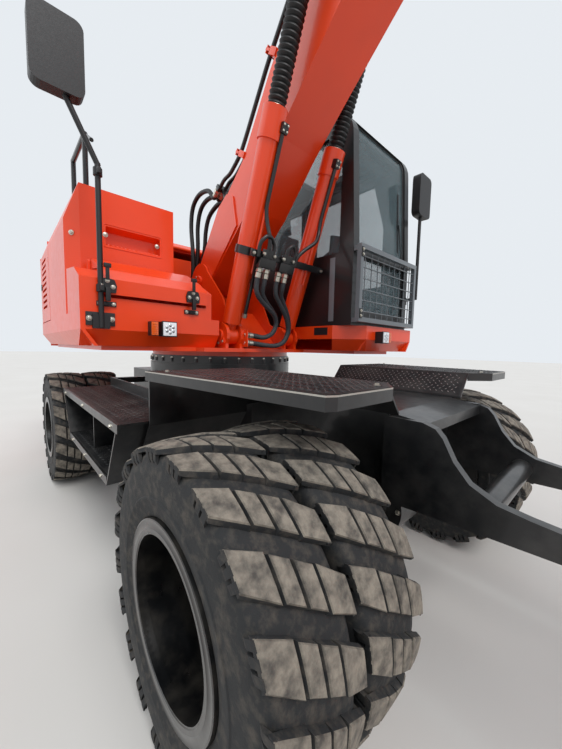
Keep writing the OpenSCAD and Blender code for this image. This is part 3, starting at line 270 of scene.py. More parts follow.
def painted(name, rgb, rough=0.3, coat=0.25, dust=0.12, dust_top=1.4, dust_rgb=(150, 140, 125)):
    """Sprayed steel: uneven gloss, orange peel, and dust that thickens low down and on level faces."""
    s = Surface(name, Roughness=rough, Coat_Weight=coat, Coat_Roughness=0.1)
    base = srgb(*rgb)
    body = s.mix(s.step(s.noise(1.7, 3), 0.35, 0.7), base, scaled(base, 0.88))
    low = s.calc("SUBTRACT", 1.0, s.step(s.height(), 0.3, dust_top))
    level = s.calc("MULTIPLY", s.facing_up(), 0.6)
    spots = s.step(s.noise(9, 8, 0.65), 0.42, 0.72)
    cover = s.calc("MULTIPLY", s.calc("ADD", low, level), spots)
    s.colour(s.mix(s.calc("MULTIPLY", cover, dust * 2.2), body, srgb(*dust_rgb)))
    s.roughness(s.noise(22, 5), rough * 0.8, rough * 1.35)
    s.bump(s.noise(260, 2), 0.05, 0.0006)
    return s.material


def plain(name, rgb, rough=0.5, metal=0.0, grain=60, bump=0.12, vary=0.2, **sockets):
    s = Surface(name, Roughness=rough, Metallic=metal, **sockets)
    base = srgb(*rgb)
    n = s.noise(grain, 5)
    s.colour(s.mix(n, scaled(base, 1 - vary), scaled(base, 1 + vary)))
    s.roughness(s.noise(grain * 0.6, 3), rough * 0.8, min(1, rough * 1.25))
    s.bump(n, bump, 0.001)
    return s.material


def rubber(name, dark, pale, share, wear_scale=12):
    """Rubber with dust rubbed into it; share is how much of it is pale."""
    s = Surface(name, Roughness=0.8)
    n = s.noise(34, 8, 0.7)
    black = s.mix(n, srgb(*dark), scaled(srgb(*dark), 2.2))
    dusty = s.mix(s.noise(90, 6, 0.75), scaled(srgb(*pale), 0.45), srgb(*pale))
    wear = s.step(s.noise(wear_scale, 6, 0.6), 0.62 - share * 0.5, 0.86 - share * 0.4)
    s.colour(s.mix(wear, black, dusty))
    s.roughness(n, 0.65, 0.95)
    s.bump(s.noise(120, 6, 0.7), 0.5, 0.002)
    return s.material


def sleeve(name):
    """Hose in a spiral sleeve."""
    s = Surface(name, Roughness=0.55)
    w = s.node("ShaderNodeTexWave", wave_type="BANDS", bands_direction="DIAGONAL")
    w.inputs["Scale"].default_value = 60
    w.inputs["Distortion"].default_value = 1.5
    s.link(s.place, w.inputs["Vector"])
    s.colour(s.mix(w.outputs["Fac"], srgb(18, 19, 21), srgb(80, 84, 88)))
    s.bump(w.outputs["Fac"], 0.6, 0.002)
    return s.material


def worn_plate(name, paint, bare):
    """Painted tread plate, rubbed through in patches."""
    s = Surface(name, Roughness=0.42, Metallic=0.3)
    s.colour(s.mix(s.step(s.noise(7, 8, 0.7), 0.4, 0.78), srgb(*paint), srgb(*bare)))
    s.roughness(s.noise(30, 4), 0.32, 0.6)
    s.bump(s.noise(120, 4), 0.25, 0.001)
    return s.material


def cloth(name, rgb):
    """Woven seat cloth."""
    s = Surface(name, Roughness=0.9, Sheen_Weight=0.3)
    a = s.node("ShaderNodeTexWave", bands_direction="X")
    b = s.node("ShaderNodeTexWave", bands_direction="Z")
    for w in (a, b):
        w.inputs["Scale"].default_value = 220
        s.link(s.place, w.inputs["Vector"])
    weave = s.calc("MULTIPLY", a.outputs["Fac"], b.outputs["Fac"])
    s.colour(s.mix(weave, scaled(srgb(*rgb), 0.7), scaled(srgb(*rgb), 1.5)))
    s.bump(weave, 0.5, 0.001)
    return s.material


def window(name):
    s = Surface(name, Roughness=0.03, IOR=1.45, Alpha=0.32)
    s.shader.inputs["Specular IOR Level"].default_value = 0.8
    s.colour(s.mix(s.noise(3, 2), srgb(96, 116, 122), srgb(116, 136, 140)))
    return s.material


RED = painted("paint_red", (238, 66, 8), 0.32, 0.25, dust=0.03)
DARK = painted("paint_chassis", (14, 15, 17), 0.36, 0.3, dust=0.09, dust_top=1.5, dust_rgb=(120, 116, 110))
CAB = painted("paint_cab", (15, 16, 18), 0.38, 0.2, dust=0.04)
GUARD = painted("paint_guard", (104, 110, 114), 0.4, 0.2, dust=0.04)
RIM = painted("paint_rim", (9, 10, 12), 0.28, 0.4, dust=0.05)
BLACK = painted("paint_black", (15, 15, 17), 0.35, 0.25, dust=0.04)
CHROME = plain("chrome", (225, 226, 228), 0.12, 1.0, 30, 0.02, 0.04)
ZINC = plain("zinc", (196, 192, 180), 0.3, 0.9, 140, 0.15, 0.12)
IRON = plain("cast_iron", (58, 58, 60), 0.6, 0.4, 90, 0.4, 0.25)
PLASTIC = plain("moulded_plastic", (20, 20, 22), 0.5, 0.0, 220, 0.25, 0.2)
SEAL = plain("window_seal", (14, 14, 15), 0.65, 0.0, 150, 0.2, 0.2)
LENS = plain("lamp_lens", (235, 238, 240), 0.1, 0.0, 90, 0.3, 0.04, Coat_Weight=0.6)
REFLECTOR = plain("reflector", (205, 208, 210), 0.15, 0.9, 90, 0.3, 0.08)
AMBER = plain("amber_lens", (222, 92, 12), 0.2, 0.0, 120, 0.4, 0.12, Coat_Weight=0.6)
MIRROR = plain("mirror_glass", (205, 212, 218), 0.03, 1.0, 8, 0.0, 0.02)
WORN = plain("worn_steel", (104, 102, 98), 0.45, 0.7, 70, 0.4, 0.35)
STRIP = plain("grey_strip", (120, 124, 128), 0.45, 0.2, 150, 0.1, 0.1)
# Near-black: the tail grille's own wires, and painted shade in the door louvres, the hood's slots and the
# exhaust's mouth
MESH_AND_SHADE = plain("grille_mesh_and_painted_shade", (8, 8, 9), 0.7, 0.0, 200, 0.2, 0.2)
BLANK = plain("blank_plate", (34, 35, 38), 0.35, 0.2, 200, 0.1, 0.15)
TYRE = rubber("tyre_rubber", (22, 23, 24), (84, 78, 70), 0.3, 30)
TREAD = rubber("tread_top", (52, 49, 45), (150, 141, 127), 0.62, 26)
HOSE = sleeve("hose_sleeve")
RUBBER = plain("hose_rubber", (13, 13, 14), 0.5, 0.0, 160, 0.3, 0.25)
CHECKER = worn_plate("checker_plate", (20, 21, 23), (70, 68, 66))
STUD = plain("checker_studs", (150, 150, 148), 0.3, 0.85, 120, 0.2, 0.25)
# Bright colour of the fenders' edge bands: a painted highlight
EDGE = plain("edge_highlight", (178, 174, 166), 0.35, 0.8, 90, 0.2, 0.25)
SEAT_CLOTH = cloth("seat_cloth", (44, 42, 42))
GLASS = window("window_glass")

NODE_MATERIALS = {
    DARK: ["chassis_frame", "slew_ring", "axles", "drive_line", "axle_rams", "side_steps", "front_rest",
           "front_fenders", "knuckle_right", "knuckle_left"],
    CAB: ["cab_shell", "cab_door"],
    GUARD: ["cab_guard"],
    CHROME: ["boom_rods", "arm_rod", "bucket_rod"],
    RUBBER: ["rod_bellows"],
    PLASTIC: ["console", "mirrors", "lamps"],
    BLACK: ["grab_rails", "exhaust"],
    IRON: ["engine_block"],
    GLASS: ["cab_glass", "door_glass"],
    SEAT_CLOTH: ["seat"],
}
# Width of the softened edges, then the nodes that have them
BEVELS = {
    0.006: ["upper_frame", "fuel_tank", "toolbox", "toolbox_lid", "engine_hood", "counterweight",
            "cab_shell"],
    0.004: ["boom", "arm", "chassis_frame", "front_rest", "boom_barrels", "cab_guard", "engine_housing"],
    0.002: ["front_fenders", "side_steps", "side_door_right", "side_door_left", "cab_door", "mirrors"],
}


def dress_nodes():
    chosen = {n: m for m, names in NODE_MATERIALS.items() for n in names}
    for name, o in nodes.items():
        finish = chosen.get(name, RED)
        if name.startswith("tyres"):
            finish = TYRE
        if name.startswith("rims"):
            finish = RIM
        if not o.material_slots:
            o.data.materials.append(finish)
        for s in o.material_slots:
            s.material = finish
    for width, names in BEVELS.items():
        for name in names:
            b = nodes[name].modifiers.new("edges", "BEVEL")
            b.width = width
            b.segments = 2
            b.limit_method = "ANGLE"
            b.angle_limit = RAD(40)


dress_nodes()


# Mesh tools


def piece(name, bm, body, mats, smooth=35):
    """An object made of the mesh, which rides on a body and takes its finish from the materials given."""
    mesh = bpy.data.meshes.new(name)
    bmesh.ops.recalc_face_normals(bm, faces=bm.faces)
    bm.to_mesh(mesh)
    bm.free()
    for m in mats if isinstance(mats, (list, tuple)) else [mats]:
        mesh.materials.append(m)
    if smooth:
        for p in mesh.polygons:
            p.use_smooth = True
        mesh.set_sharp_from_angle(angle=RAD(smooth))
    o = bpy.data.objects.new(name, mesh)
    bpy.context.collection.objects.link(o)
    if body:
        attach(o, body)
    return o


def frame_at(p, d, x=None):
    """A matrix whose Z lies along d at p, and whose X is near x."""
    z = Vector(d).normalized()
    if x is None:
        x = (1, 0, 0) if abs(z.x) < 0.9 else (0, 1, 0)
    y = z.cross(Vector(x)).normalized()
    return Matrix.Translation(p) @ turned(y.cross(z), y, z)


def box(bm, lo, hi, bevel=0.002, mat=0, m=None):
    """Box with rounded edges; m places it where its corners aren't in the row's frame."""
    size = Vector(hi) - Vector(lo)
    mid = (Vector(hi) + Vector(lo)) / 2
    verts = bmesh.ops.create_cube(bm, size=1)["verts"]
    for v in verts:
        v.co = mid + V(v.co.x * size.x, v.co.y * size.y, v.co.z * size.z)
    edges = list({e for v in verts for e in v.link_edges})
    bevel = min(bevel, 0.4 * min(abs(c) for c in size))
    made = bmesh.ops.bevel(bm, geom=edges, offset=bevel, segments=2, profile=0.7, affect="EDGES")
    verts = list({v for f in made["faces"] for v in f.verts})
    for f in {f for v in verts for f in v.link_faces}:
        f.material_index = mat
    if m is not None:
        bmesh.ops.transform(bm, matrix=m, verts=verts)


def lathe(bm, p, d, profile, n=24, mat=0):
    """Turned form about d at p. profile holds (radius, distance along d); radius 0 closes an end."""
    m = frame_at(p, d)
    rings = []
    for r, h in profile:
        turns = [2 * math.pi * i / n for i in range(n if r else 1)]
        rings.append([bm.verts.new(m @ V(r * math.cos(a), r * math.sin(a), h)) for a in turns])
    for a, b in zip(rings, rings[1:]):
        for i in range(n):
            j = (i + 1) % n
            corners = [a[i % len(a)], a[j % len(a)], b[j % len(b)], b[i % len(b)]]
            corners = [v for k, v in enumerate(corners) if v not in corners[:k]]
            if len(corners) > 2:
                bm.faces.new(corners).material_index = mat


def bolt(bm, p, d, r=0.012, h=0.010, mat=0):
    """Hexagon head with a chamfered top, on its washer."""
    lathe(bm, p, d, [(r * 1.35, 0), (r * 1.35, h * 0.18), (r * 1.05, h * 0.2)], 14, mat)
    lathe(bm, p, d, [(r, h * 0.18), (r, h * 0.9), (r * 0.82, h), (0, h)], 6, mat)


def curve_through(points, per=8):
    """A smooth path through the points."""
    p = [Vector(q) for q in points]
    p = [p[0] * 2 - p[1]] + p + [p[-1] * 2 - p[-2]]
    path = []
    for a, b, c, d in zip(p, p[1:], p[2:], p[3:]):
        for k in range(per):
            t = k / per
            cubic = (3 * b - a - 3 * c + d) * t ** 3
            path.append(0.5 * (2 * b + (c - a) * t + (2 * a - 5 * b + 4 * c - d) * t * t + cubic))
    path.append(p[-2])
    return path


def bent(points, r, n=5):
    """A path of straight runs with its corners rounded."""
    p = [Vector(q) for q in points]
    path = [p[0]]
    for a, b, c in zip(p, p[1:], p[2:]):
        u = a - b
        w = c - b
        k = min(r, u.length * 0.45, w.length * 0.45)
        s = b + u.normalized() * k
        e = b + w.normalized() * k
        for t in (i / n for i in range(n + 1)):
            path.append(s * (1 - t) ** 2 + b * (2 * t * (1 - t)) + e * t ** 2)
    path.append(p[-1])
    return path


def tube(bm, path, r, n=12, mat=0):
    """Round bar along a path, with closed ends."""
    rings = []
    side = (path[1] - path[0]).orthogonal().normalized()
    for i, p in enumerate(path):
        t = (path[min(i + 1, len(path) - 1)] - path[max(i - 1, 0)]).normalized()
        side = (side - t * side.dot(t)).normalized()
        other = t.cross(side)
        turns = [2 * math.pi * k / n for k in range(n)]
        rings.append([bm.verts.new(p + r * (math.cos(a) * side + math.sin(a) * other)) for a in turns])
    for a, b in zip(rings, rings[1:]):
        for i in range(n):
            bm.faces.new((a[i], a[(i + 1) % n], b[(i + 1) % n], b[i])).material_index = mat
    bm.faces.new(rings[0]).material_index = mat
    bm.faces.new(rings[-1]).material_index = mat


def ring(bm, corners, r, mat=0, n=8):
    """Round bead that runs round through the corners."""
    path = bent(corners + corners[:1], 0.012, 3)
    tube(bm, path, r, n, mat)


def prism(bm, outline, place, depth, mat=0):
    """Plate: a flat outline of (x, y), set at the matrix place and thickened along its Z."""
    low = [bm.verts.new(place @ V(x, y, 0)) for x, y in outline]
    high = [bm.verts.new(place @ V(x, y, depth)) for x, y in outline]
    bm.faces.new(low).material_index = mat
    bm.faces.new(high).material_index = mat
    for i in range(len(outline)):
        j = (i + 1) % len(outline)
        bm.faces.new((low[i], low[j], high[j], high[i])).material_index = mat


def rectangle(x0, y0, x1, y1):
    return [(x0, y0), (x1, y0), (x1, y1), (x0, y1)]


def inside(x, y, outline):
    """Whether a point lies in a flat outline."""
    found = False
    for (x0, y0), (x1, y1) in zip(outline, outline[1:] + outline[:1]):
        if (y0 > y) != (y1 > y) and x < (x1 - x0) * (y - y0) / (y1 - y0) + x0:
            found = not found
    return found


# Planes that face forward and backward: X across the machine, Y up
FORWARD = Matrix(((0, 0, 1), (1, 0, 0), (0, 1, 0))).to_4x4()
BACKWARD = Matrix(((0, 0, -1), (1, 0, 0), (0, 1, 0))).to_4x4()


# Tyres and wheels

LUGS = 20
SLANT = -RAD(9) / 0.129
# Blocks of a row across the tread: both edges, width as a share of the pitch, and the side of its shoulder
BLOCKS = [
    (-0.138, -0.060, 0.64, -1), (-0.051, -0.006, 0.60, 0), (0.003, 0.048, 0.60, 0), (0.057, 0.138, 0.64, 1)
]
BLOCK_FOOT_R = 0.4975
CROWN_DROP = 0.011
RIBS = 3
NUT_CIRCLE_R = 0.18
HUB_BOLT_CIRCLE_R = 0.094


def carcass(bm, centre):
    h = TYRE_W / 2
    # Radius and distance from the tyre's middle, from the bead to the floor of the tread
    half = [
        (0.2545, h - 0.0215), (0.2925, h - 0.0215), (0.2935, h - 0.015), (0.300, h - 0.010),
        (0.312, h - 0.009), (0.318, h - 0.0065), (0.345, h - 0.0025), (0.349, h), (0.356, h),
        (0.360, h - 0.003), (0.400, h - 0.0015), (0.440, h - 0.003), (0.466, h - 0.006), (0.484, h - 0.014),
        (0.494, h - 0.028), (0.498, h - 0.05), (0.500, 0.04)
    ]
    profile = [(r, -y) for r, y in half] + [(r, y) for r, y in reversed(half)]
    lathe(bm, centre, (0, 1, 0), profile, 80, 0)


def spin(centre, a, r, y):
    return centre + V(r * math.cos(a), y, r * math.sin(a))


def crown(y):
    """Radius of the tread's top, which falls off to the shoulders."""
    return TYRE_R - 0.001 - CROWN_DROP * abs(y / (TYRE_W / 2)) ** 3


def tread_block(bm, centre, row_angle, y0, y1, share, shoulder):
    """One block: a base, a flank that leans in, and a worn top with its edge rounded."""
    half = 2 * math.pi / LUGS * share / 2
    edge = TYRE_W / 2 - 0.001
    layers = []
    # Growth of the outline and drop below the top, from the base up
    for grow, drop in ((0.005, None), (0.0, 0.004), (-0.0035, 0.0)):
        sides = []
        for y, sign in ((y0 - grow, -1), (y1 + grow, 1)):
            y = max(-edge, min(edge, y))
            narrow = 0.86 if shoulder and sign == shoulder else 1.0
            spread = half * narrow + grow / TYRE_R
            turns = [row_angle + SLANT * y + f * spread for f in (-1, -0.33, 0.33, 1)]
            r = BLOCK_FOOT_R if drop is None else crown(y) - drop
            sides.append([spin(centre, a, r, y) for a in turns])
        layers.append([bm.verts.new(q) for q in sides[0] + sides[1][::-1]])
    for k, (a, b) in enumerate(zip(layers, layers[1:])):
        for i in range(8):
            bm.faces.new((a[i], a[(i + 1) % 8], b[(i + 1) % 8], b[i])).material_index = k
    top = layers[2]
    for k in range(3):
        bm.faces.new((top[k], top[k + 1], top[6 - k], top[7 - k])).material_index = 1


def shoulder_ribs(bm, centre, row_angle, side):
    """Ribs that carry a shoulder block down the sidewall."""
    h = TYRE_W / 2
    pitch = 2 * math.pi / LUGS
    # Radius and distance from the tyre's middle, down the rib
    section = [(0.511, h - 0.014), (0.512, h - 0.0005), (0.478, h - 0.0005), (0.460, h - 0.007)]
    for k in range(RIBS):
        a = row_angle + SLANT * side * h + (k - (RIBS - 1) / 2) * pitch * 0.19
        w = pitch * 0.13
        rows = []
        for r, y in section:
            rows.append([bm.verts.new(spin(centre, t, r, side * y)) for t in (a - w / 2, a + w / 2)])
        for p, q in zip(rows, rows[1:] + rows[:1]):
            bm.faces.new((p[0], p[1], q[1], q[0]))
        bm.faces.new([q[0] for q in rows])
        bm.faces.new([q[1] for q in rows])


def tyre(bm, centre):
    carcass(bm, centre)
    for i in range(LUGS):
        row = 2 * math.pi * i / LUGS
        for y0, y1, share, shoulder in BLOCKS:
            tread_block(bm, centre, row, y0, y1, share, shoulder)
        for side in (-1, 1):
            shoulder_ribs(bm, centre, row, side)


def wheel_trim(bm, x, s):
    """Lock ring, wheel nuts, hub cover with its bolts, and valve."""
    out = (0, s, 0)
    face = s * (PAIR_Y + 0.0125)
    rim_end = s * (PAIR_Y + PAIR_PITCH / 2 + TYRE_W / 2 - 0.003)
    lathe(bm, M(x, rim_end, TYRE_R), out, [
        (0.2435, -0.030), (0.2445, -0.002), (0.250, 0.0025), (0.262, 0.003), (0.266, 0.0008),
        (0.284, 0.0008), (0.288, 0.0025), (0.2924, 0.001), (0.2930, -0.010)
    ], 72)
    for a, b in around(10, NUT_CIRCLE_R):
        p = M(x + a, face + s * 0.033, TYRE_R + b)
        lathe(bm, p, out, [(0.015, 0), (0.015, 0.018), (0.012, 0.022), (0, 0.022)], 6, 1)
    hub = s * (PAIR_Y + 0.110)
    lathe(bm, M(x, hub, TYRE_R), out, [
        (0.118, -0.001), (0.118, 0.008), (0.104, 0.014), (0.070, 0.016), (0.066, 0.026), (0.0, 0.030)
    ], 36)
    for a, b in around(8, HUB_BOLT_CIRCLE_R):
        bolt(bm, M(x + a, hub + s * 0.013, TYRE_R + b), out, 0.008, 0.008, 1)
    stem = M(x + 0.215, face, TYRE_R + 0.06)
    valve = [stem, stem + V(0, s * 0.05, 0), stem + V(-0.01, s * 0.13, 0)]
    tube(bm, bent(valve, 0.02), 0.005, 8, 1)


def make_wheels():
    for end, x in AXLE_X.items():
        for side, s in (("right", -1), ("left", 1)):
            name = end + "_" + side
            bm = bmesh.new()
            for k in (-1, 1):
                tyre(bm, M(x, s * (PAIR_Y + k * PAIR_PITCH / 2), TYRE_R))
            t = piece("tread_" + name, bm, "wheel_" + name, [TYRE, TREAD])
            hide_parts("tyres_" + name)
            bm = bmesh.new()
            wheel_trim(bm, x, s)
            piece("hub_" + name, bm, "wheel_" + name, [RIM, WORN], 30)


make_wheels()


# Undercarriage

FENDER_Z = 1.215
FENDER = [(1.04, 0.478), (1.04, 1.05), (2.022, 0.928), (2.037, 0.897), (2.037, 0.604), (1.953, 0.478)]
PLATE_T = 0.0012
PLATE_EDGE = 0.004
# Foot and head of the fender's sloping inner side, across the machine and up
SLOPE_FOOT = (0.3653, 1.086)
SLOPE_HEAD = (0.470, 1.215)
# Height, rear end and front end of each tread of the side steps
TREADS = [(0.965, -0.58, 0.98), (0.640, -0.31, 0.755)]
RING_BOLT_CIRCLE_R = 0.619
AXLE_BOLT_CIRCLE_R = 0.155
LOCK_RAM_Y = 0.25


def diamonds(bm, outline, place, pitch):
    """Raised pattern of checker plate inside an outline of (x, y) on the plane place."""
    long, short, rise = 0.013, 0.0045, 0.0016
    edge = 0.016
    xs = [p[0] for p in outline]
    ys = [p[1] for p in outline]
    for i in range(int((max(xs) - min(xs)) / pitch * 2)):
        for j in range(int((max(ys) - min(ys)) / pitch) + 1):
            x = min(xs) + 0.02 + i * pitch / 2
            y = min(ys) + 0.02 + (j + (i % 2) / 2) * pitch
            if not all(inside(x + e, y + f, outline) for e in (-edge, edge) for f in (-edge, edge)):
                continue
            a = RAD(45 if (i + j) % 2 else -45)
            u = V(math.cos(a), math.sin(a), 0)
            w = V(-math.sin(a), math.cos(a), 0)
            c = V(x, y, 0)
            rim = [u * long, w * short, -u * long, -w * short]
            base = [bm.verts.new(place @ (c + q)) for q in rim]
            top = [bm.verts.new(place @ (c + q * 0.6 + V(0, 0, rise))) for q in rim]
            for k in range(4):
                bm.faces.new((base[k], base[(k + 1) % 4], top[(k + 1) % 4], top[k]))
            bm.faces.new(top).material_index = 1


def tread_plate(bm, outline, place, pitch=0.034):
    prism(bm, outline, place, PLATE_T)
    diamonds(bm, outline, place @ Matrix.Translation((0, 0, PLATE_T)), pitch)


def level(z, s=1):
    """Plane at height z; s of -1 mirrors it to the right side."""
    return Matrix.Translation(M(0, 0, z)) @ Matrix.Diagonal((1, s, 1, 1))


def make_plates():
    bm = bmesh.new()
    for s in (-1, 1):
        tread_plate(bm, FENDER, level(FENDER_Z, s))
        foot = M(1.04, s * SLOPE_FOOT[0], SLOPE_FOOT[1])
        head = M(1.04, s * SLOPE_HEAD[0], SLOPE_HEAD[1])
        up = (head - foot).normalized()
        out = V(0, -s * up.z, abs(up.y))
        place = Matrix.Translation(foot) @ turned(V(1, 0, 0), up, out)
        run = (head - foot).length
        tread_plate(bm, rectangle(0.005, PLATE_EDGE, 0.905, run - PLATE_EDGE), place)
    piece("fender_plates", bm, "undercarriage", [CHECKER, STUD], 0)
    bm = bmesh.new()
    for s in (-1, 1):
        for z, x0, x1 in TREADS:
            tread_plate(bm, [(x0, 0.835), (x0, 1.165), (x1, 1.165), (x1, 0.835)], level(z, s), 0.05)
    piece("step_plates", bm, "undercarriage", [CHECKER, STUD], 0)


def make_fender_edges():
    """Painted highlight: a bright band along the folded edge of each front fender."""
    bm = bmesh.new()
    line = [(1.0300, 1.0603), (2.0303, 0.9355), (2.0455, 0.9002), (2.0455, 0.5998)]
    for s in (-1, 1):
        for (x0, y0), (x1, y1) in zip(line, line[1:]):
            low = [bm.verts.new(M(x, s * y, FENDER_Z - 0.005)) for x, y in ((x0, y0), (x1, y1))]
            high = [bm.verts.new(M(x, s * y, FENDER_Z + 0.0004)) for x, y in ((x1, y1), (x0, y0))]
            bm.faces.new(low + high)
    piece("fender_edges", bm, "undercarriage", EDGE, 0)


def make_undercarriage_fittings():
    bm = bmesh.new()
    for a, b in around(36, RING_BOLT_CIRCLE_R):
        bolt(bm, M(a, b, 1.248), UP, 0.010, 0.010, 1)
    for x in AXLE_X.values():
        for side in (-1, 1):
            for a, b in around(12, AXLE_BOLT_CIRCLE_R):
                bolt(bm, M(x + a, side * 0.12, TYRE_R + b), (0, side, 0), 0.010, 0.010, 1)
    for s in (-1, 1):
        # Collars of the lock ram and the line that feeds it
        for z, r, wide, h, mat in ((0.684, 0.0322, 0.038, 0.02, 1), (0.712, 0.0262, 0.031, 0.014, 0)):
            collar = [(r, 0), (wide, 0.002), (wide, h - 0.002), (r, h)]
            lathe(bm, M(AXLE_X["front"], s * LOCK_RAM_Y, z), UP, collar, 24, mat)
        feed = [(1.731, LOCK_RAM_Y, 0.66), (1.80, LOCK_RAM_Y, 0.66), (1.80, 0.29, 0.90), (1.80, 0.324, 0.90)]
        tube(bm, bent([M(x, s * y, z) for x, y, z in feed], 0.03), 0.007, 8)
        for z, x0, x1 in TREADS:
            for x in (x0 + 0.1, (x0 + x1) / 2, x1 - 0.1):
                bolt(bm, M(x, s * 1.18, z - 0.028), (0, s, 0), 0.009, 0.008, 1)
        for x, y in ((1.985, 0.60), (1.12, 0.99)):
            bolt(bm, M(x, s * y, FENDER_Z + PLATE_T), UP, 0.009, 0.008, 1)
    piece("chassis_fittings", bm, "undercarriage", [BLACK, ZINC])


make_plates()
make_fender_edges()
make_undercarriage_fittings()


# Upper body

LATCH_YS = (-1.117, -0.611)


def latch_catch(bm, y):
    """Upper half of a rubber latch, bolted to the lid: cam plate and strap."""
    m = Matrix.Translation(M(TOOL_X + 0.018, y, 1.660))
    shape = [
        (-0.042, -0.036), (0.042, -0.036), (0.048, 0.0), (0.036, 0.034), (0.012, 0.039), (-0.012, 0.039),
        (-0.036, 0.034), (-0.048, 0.0)
    ]
    prism(bm, shape, m @ FORWARD, 0.012)
    for dy, dz in ((-0.028, -0.005), (0.028, -0.005), (0.0, 0.026)):
        bolt(bm, m @ V(0.012, dy, dz), AHEAD, 0.009, 0.008, 1)
    box(bm, (0.012, -0.012, -0.085), (0.030, 0.012, -0.012), 0.005, 0, m)
    box(bm, (0.012, -0.009, 0.030), (0.026, 0.009, 0.110), 0.004, 0, m)
    box(bm, (0.008, -0.018, 0.095), (0.030, 0.018, 0.118), 0.006, 0, m)


def latch_keeper(bm, y):
    """Lower half of the latch, bolted to the box."""
    m = Matrix.Translation(M(TOOL_X - 0.0045, y, 1.563))
    box(bm, (0, -0.050, -0.014), (0.009, 0.050, 0.014), 0.003, 0, m)
    box(bm, (0.009, -0.016, -0.010), (0.022, 0.016, 0.006), 0.004, 0, m)
    for dy in (-0.036, 0.036):
        bolt(bm, m @ V(0.009, dy, 0), AHEAD, 0.008, 0.007, 1)


def make_latches():
    for body, half in (("lid", latch_catch), ("upper", latch_keeper)):
        bm = bmesh.new()
        for y in LATCH_YS:
            half(bm, y)
        piece("latches_" + body, bm, body, [PLASTIC, ZINC])


def make_mirror_brackets():
    bm = bmesh.new()
    x = TOOL_X + 0.0006
    box(bm, M(x, -1.221, 1.441), M(x + 0.008, -1.077, 1.514), 0.003)
    for y in (-1.205, -1.093):
        bolt(bm, M(x + 0.008, y, 1.478), AHEAD, 0.011, 0.009, 1)
    for z in (1.78, 1.82):
        bolt(bm, M(CAB_X1 - 0.038, CAB_Y1 + 0.036, z), (0, 1, 0), 0.009, 0.008, 1)
    piece("mirror_brackets", bm, "upper", [BLACK, ZINC])


def rounded_outline(w, h, r, n=5):
    """Half width, half height and corner radius of a rounded rectangle."""
    outline = []
    for cx, cy, a0 in ((w - r, h - r, 0), (r - w, h - r, 90), (r - w, r - h, 180), (w - r, r - h, 270)):
        turns = [RAD(a0 + 90 * k / n) for k in range(n + 1)]
        outline += [(cx + r * math.cos(a), cy + r * math.sin(a)) for a in turns]
    return outline


def make_mirrors():
    """Glass of the two mirrors, the bead that holds it, and the clamps on their poles."""
    bm = bmesh.new()
    # Place along the machine, side, and where the pole stands
    for x, s, pole in ((TOOL_X + 0.02, -1, None), (CAB_X1 + 0.06, 1, 1.300)):
        face = Matrix.Translation(M(x - 0.0352, s * 1.31, 2.72)) @ BACKWARD
        outline = rounded_outline(0.099, 0.164, 0.034)
        prism(bm, outline, face, 0.0012, 1)
        ring(bm, [face @ V(a * 1.02, b * 1.012, 0.001) for a, b in outline], 0.004)
        if pole:
            clamp = [(0.014, 0), (0.022, 0.003), (0.022, 0.05), (0.014, 0.053)]
            lathe(bm, M(x, pole, 2.585), UP, clamp, 18)
    # Clamps on the right pole, each with its screw block
    for z in (1.62, 2.22):
        clamp = [(0.0142, 0), (0.022, 0.003), (0.022, 0.04), (0.0142, 0.043)]
        lathe(bm, M(TOOL_X + 0.02, -1.148, z), UP, clamp, 18)
        box(bm, M(TOOL_X + 0.034, -1.158, z + 0.006), M(TOOL_X + 0.056, -1.138, z + 0.037), 0.004)
    piece("mirror_glass", bm, "upper", [PLASTIC, MIRROR])


def make_tank_details():
    bm = bmesh.new()
    # Plugs on the tank's front: one on the corner's chamfer and two on the flat
    plug = [(0.016, -0.002), (0.016, 0.004), (0.011, 0.005), (0.011, 0.012), (0.008, 0.014), (0, 0.014)]
    for p, d in (((0.185, -1.206, 2.029), (0.7, -0.7, 0)), ((TANK_X, -1.026, 2.052), (1, 0, 0)),
                 ((TANK_X, -0.691, 2.053), (1, 0, 0))):
        lathe(bm, M(*p), d, plug, 20, 1)
    # Serrated tread on the floor of the step pocket, which falls to the front
    tooth = [(0.009, 0), (0.007, 0.004), (0.004, 0.004), (0.004, 0.001), (0, 0.001)]
    for i in range(13):
        for k in range(3):
            p = M(TANK_X - 0.056 + k * 0.022, -1.005 + i * 0.0265, 2.0062 - k * 0.0062)
            lathe(bm, p, (0.27, 0, 0.96), tooth, 10)
    # Folded rim of the pocket
    y0, y1, z0, z1 = -1.035, -0.657, 1.977, 2.122
    ring(bm, [M(TANK_X + 0.001, a, b) for a, b in ((y0, z0), (y0, z1), (y1, z1), (y1, z0))], 0.003)
    cap = M(-0.06, -0.9, HOOD_Z + 0.044)
    side = [(0.070, -0.002), (0.078, 0.0), (0.078, 0.024), (0.070, 0.030), (0.0, 0.034)]
    lathe(bm, cap, UP, side, 40, 2)
    for a, b in around(6, 0.076):
        lug = [(0.010, 0), (0.010, 0.022), (0.006, 0.026), (0, 0.026)]
        lathe(bm, cap + V(a, b, 0), UP, lug, 12, 2)
    piece("tank_details", bm, "upper", [RED, ZINC, BLACK])
    bm = bmesh.new()
    tread_plate(bm, rectangle(-0.22, -1.08, 0.12, -0.62), level(HOOD_Z + 0.0005), 0.05)
    piece("tank_tread", bm, "upper", [CHECKER, STUD], 0)


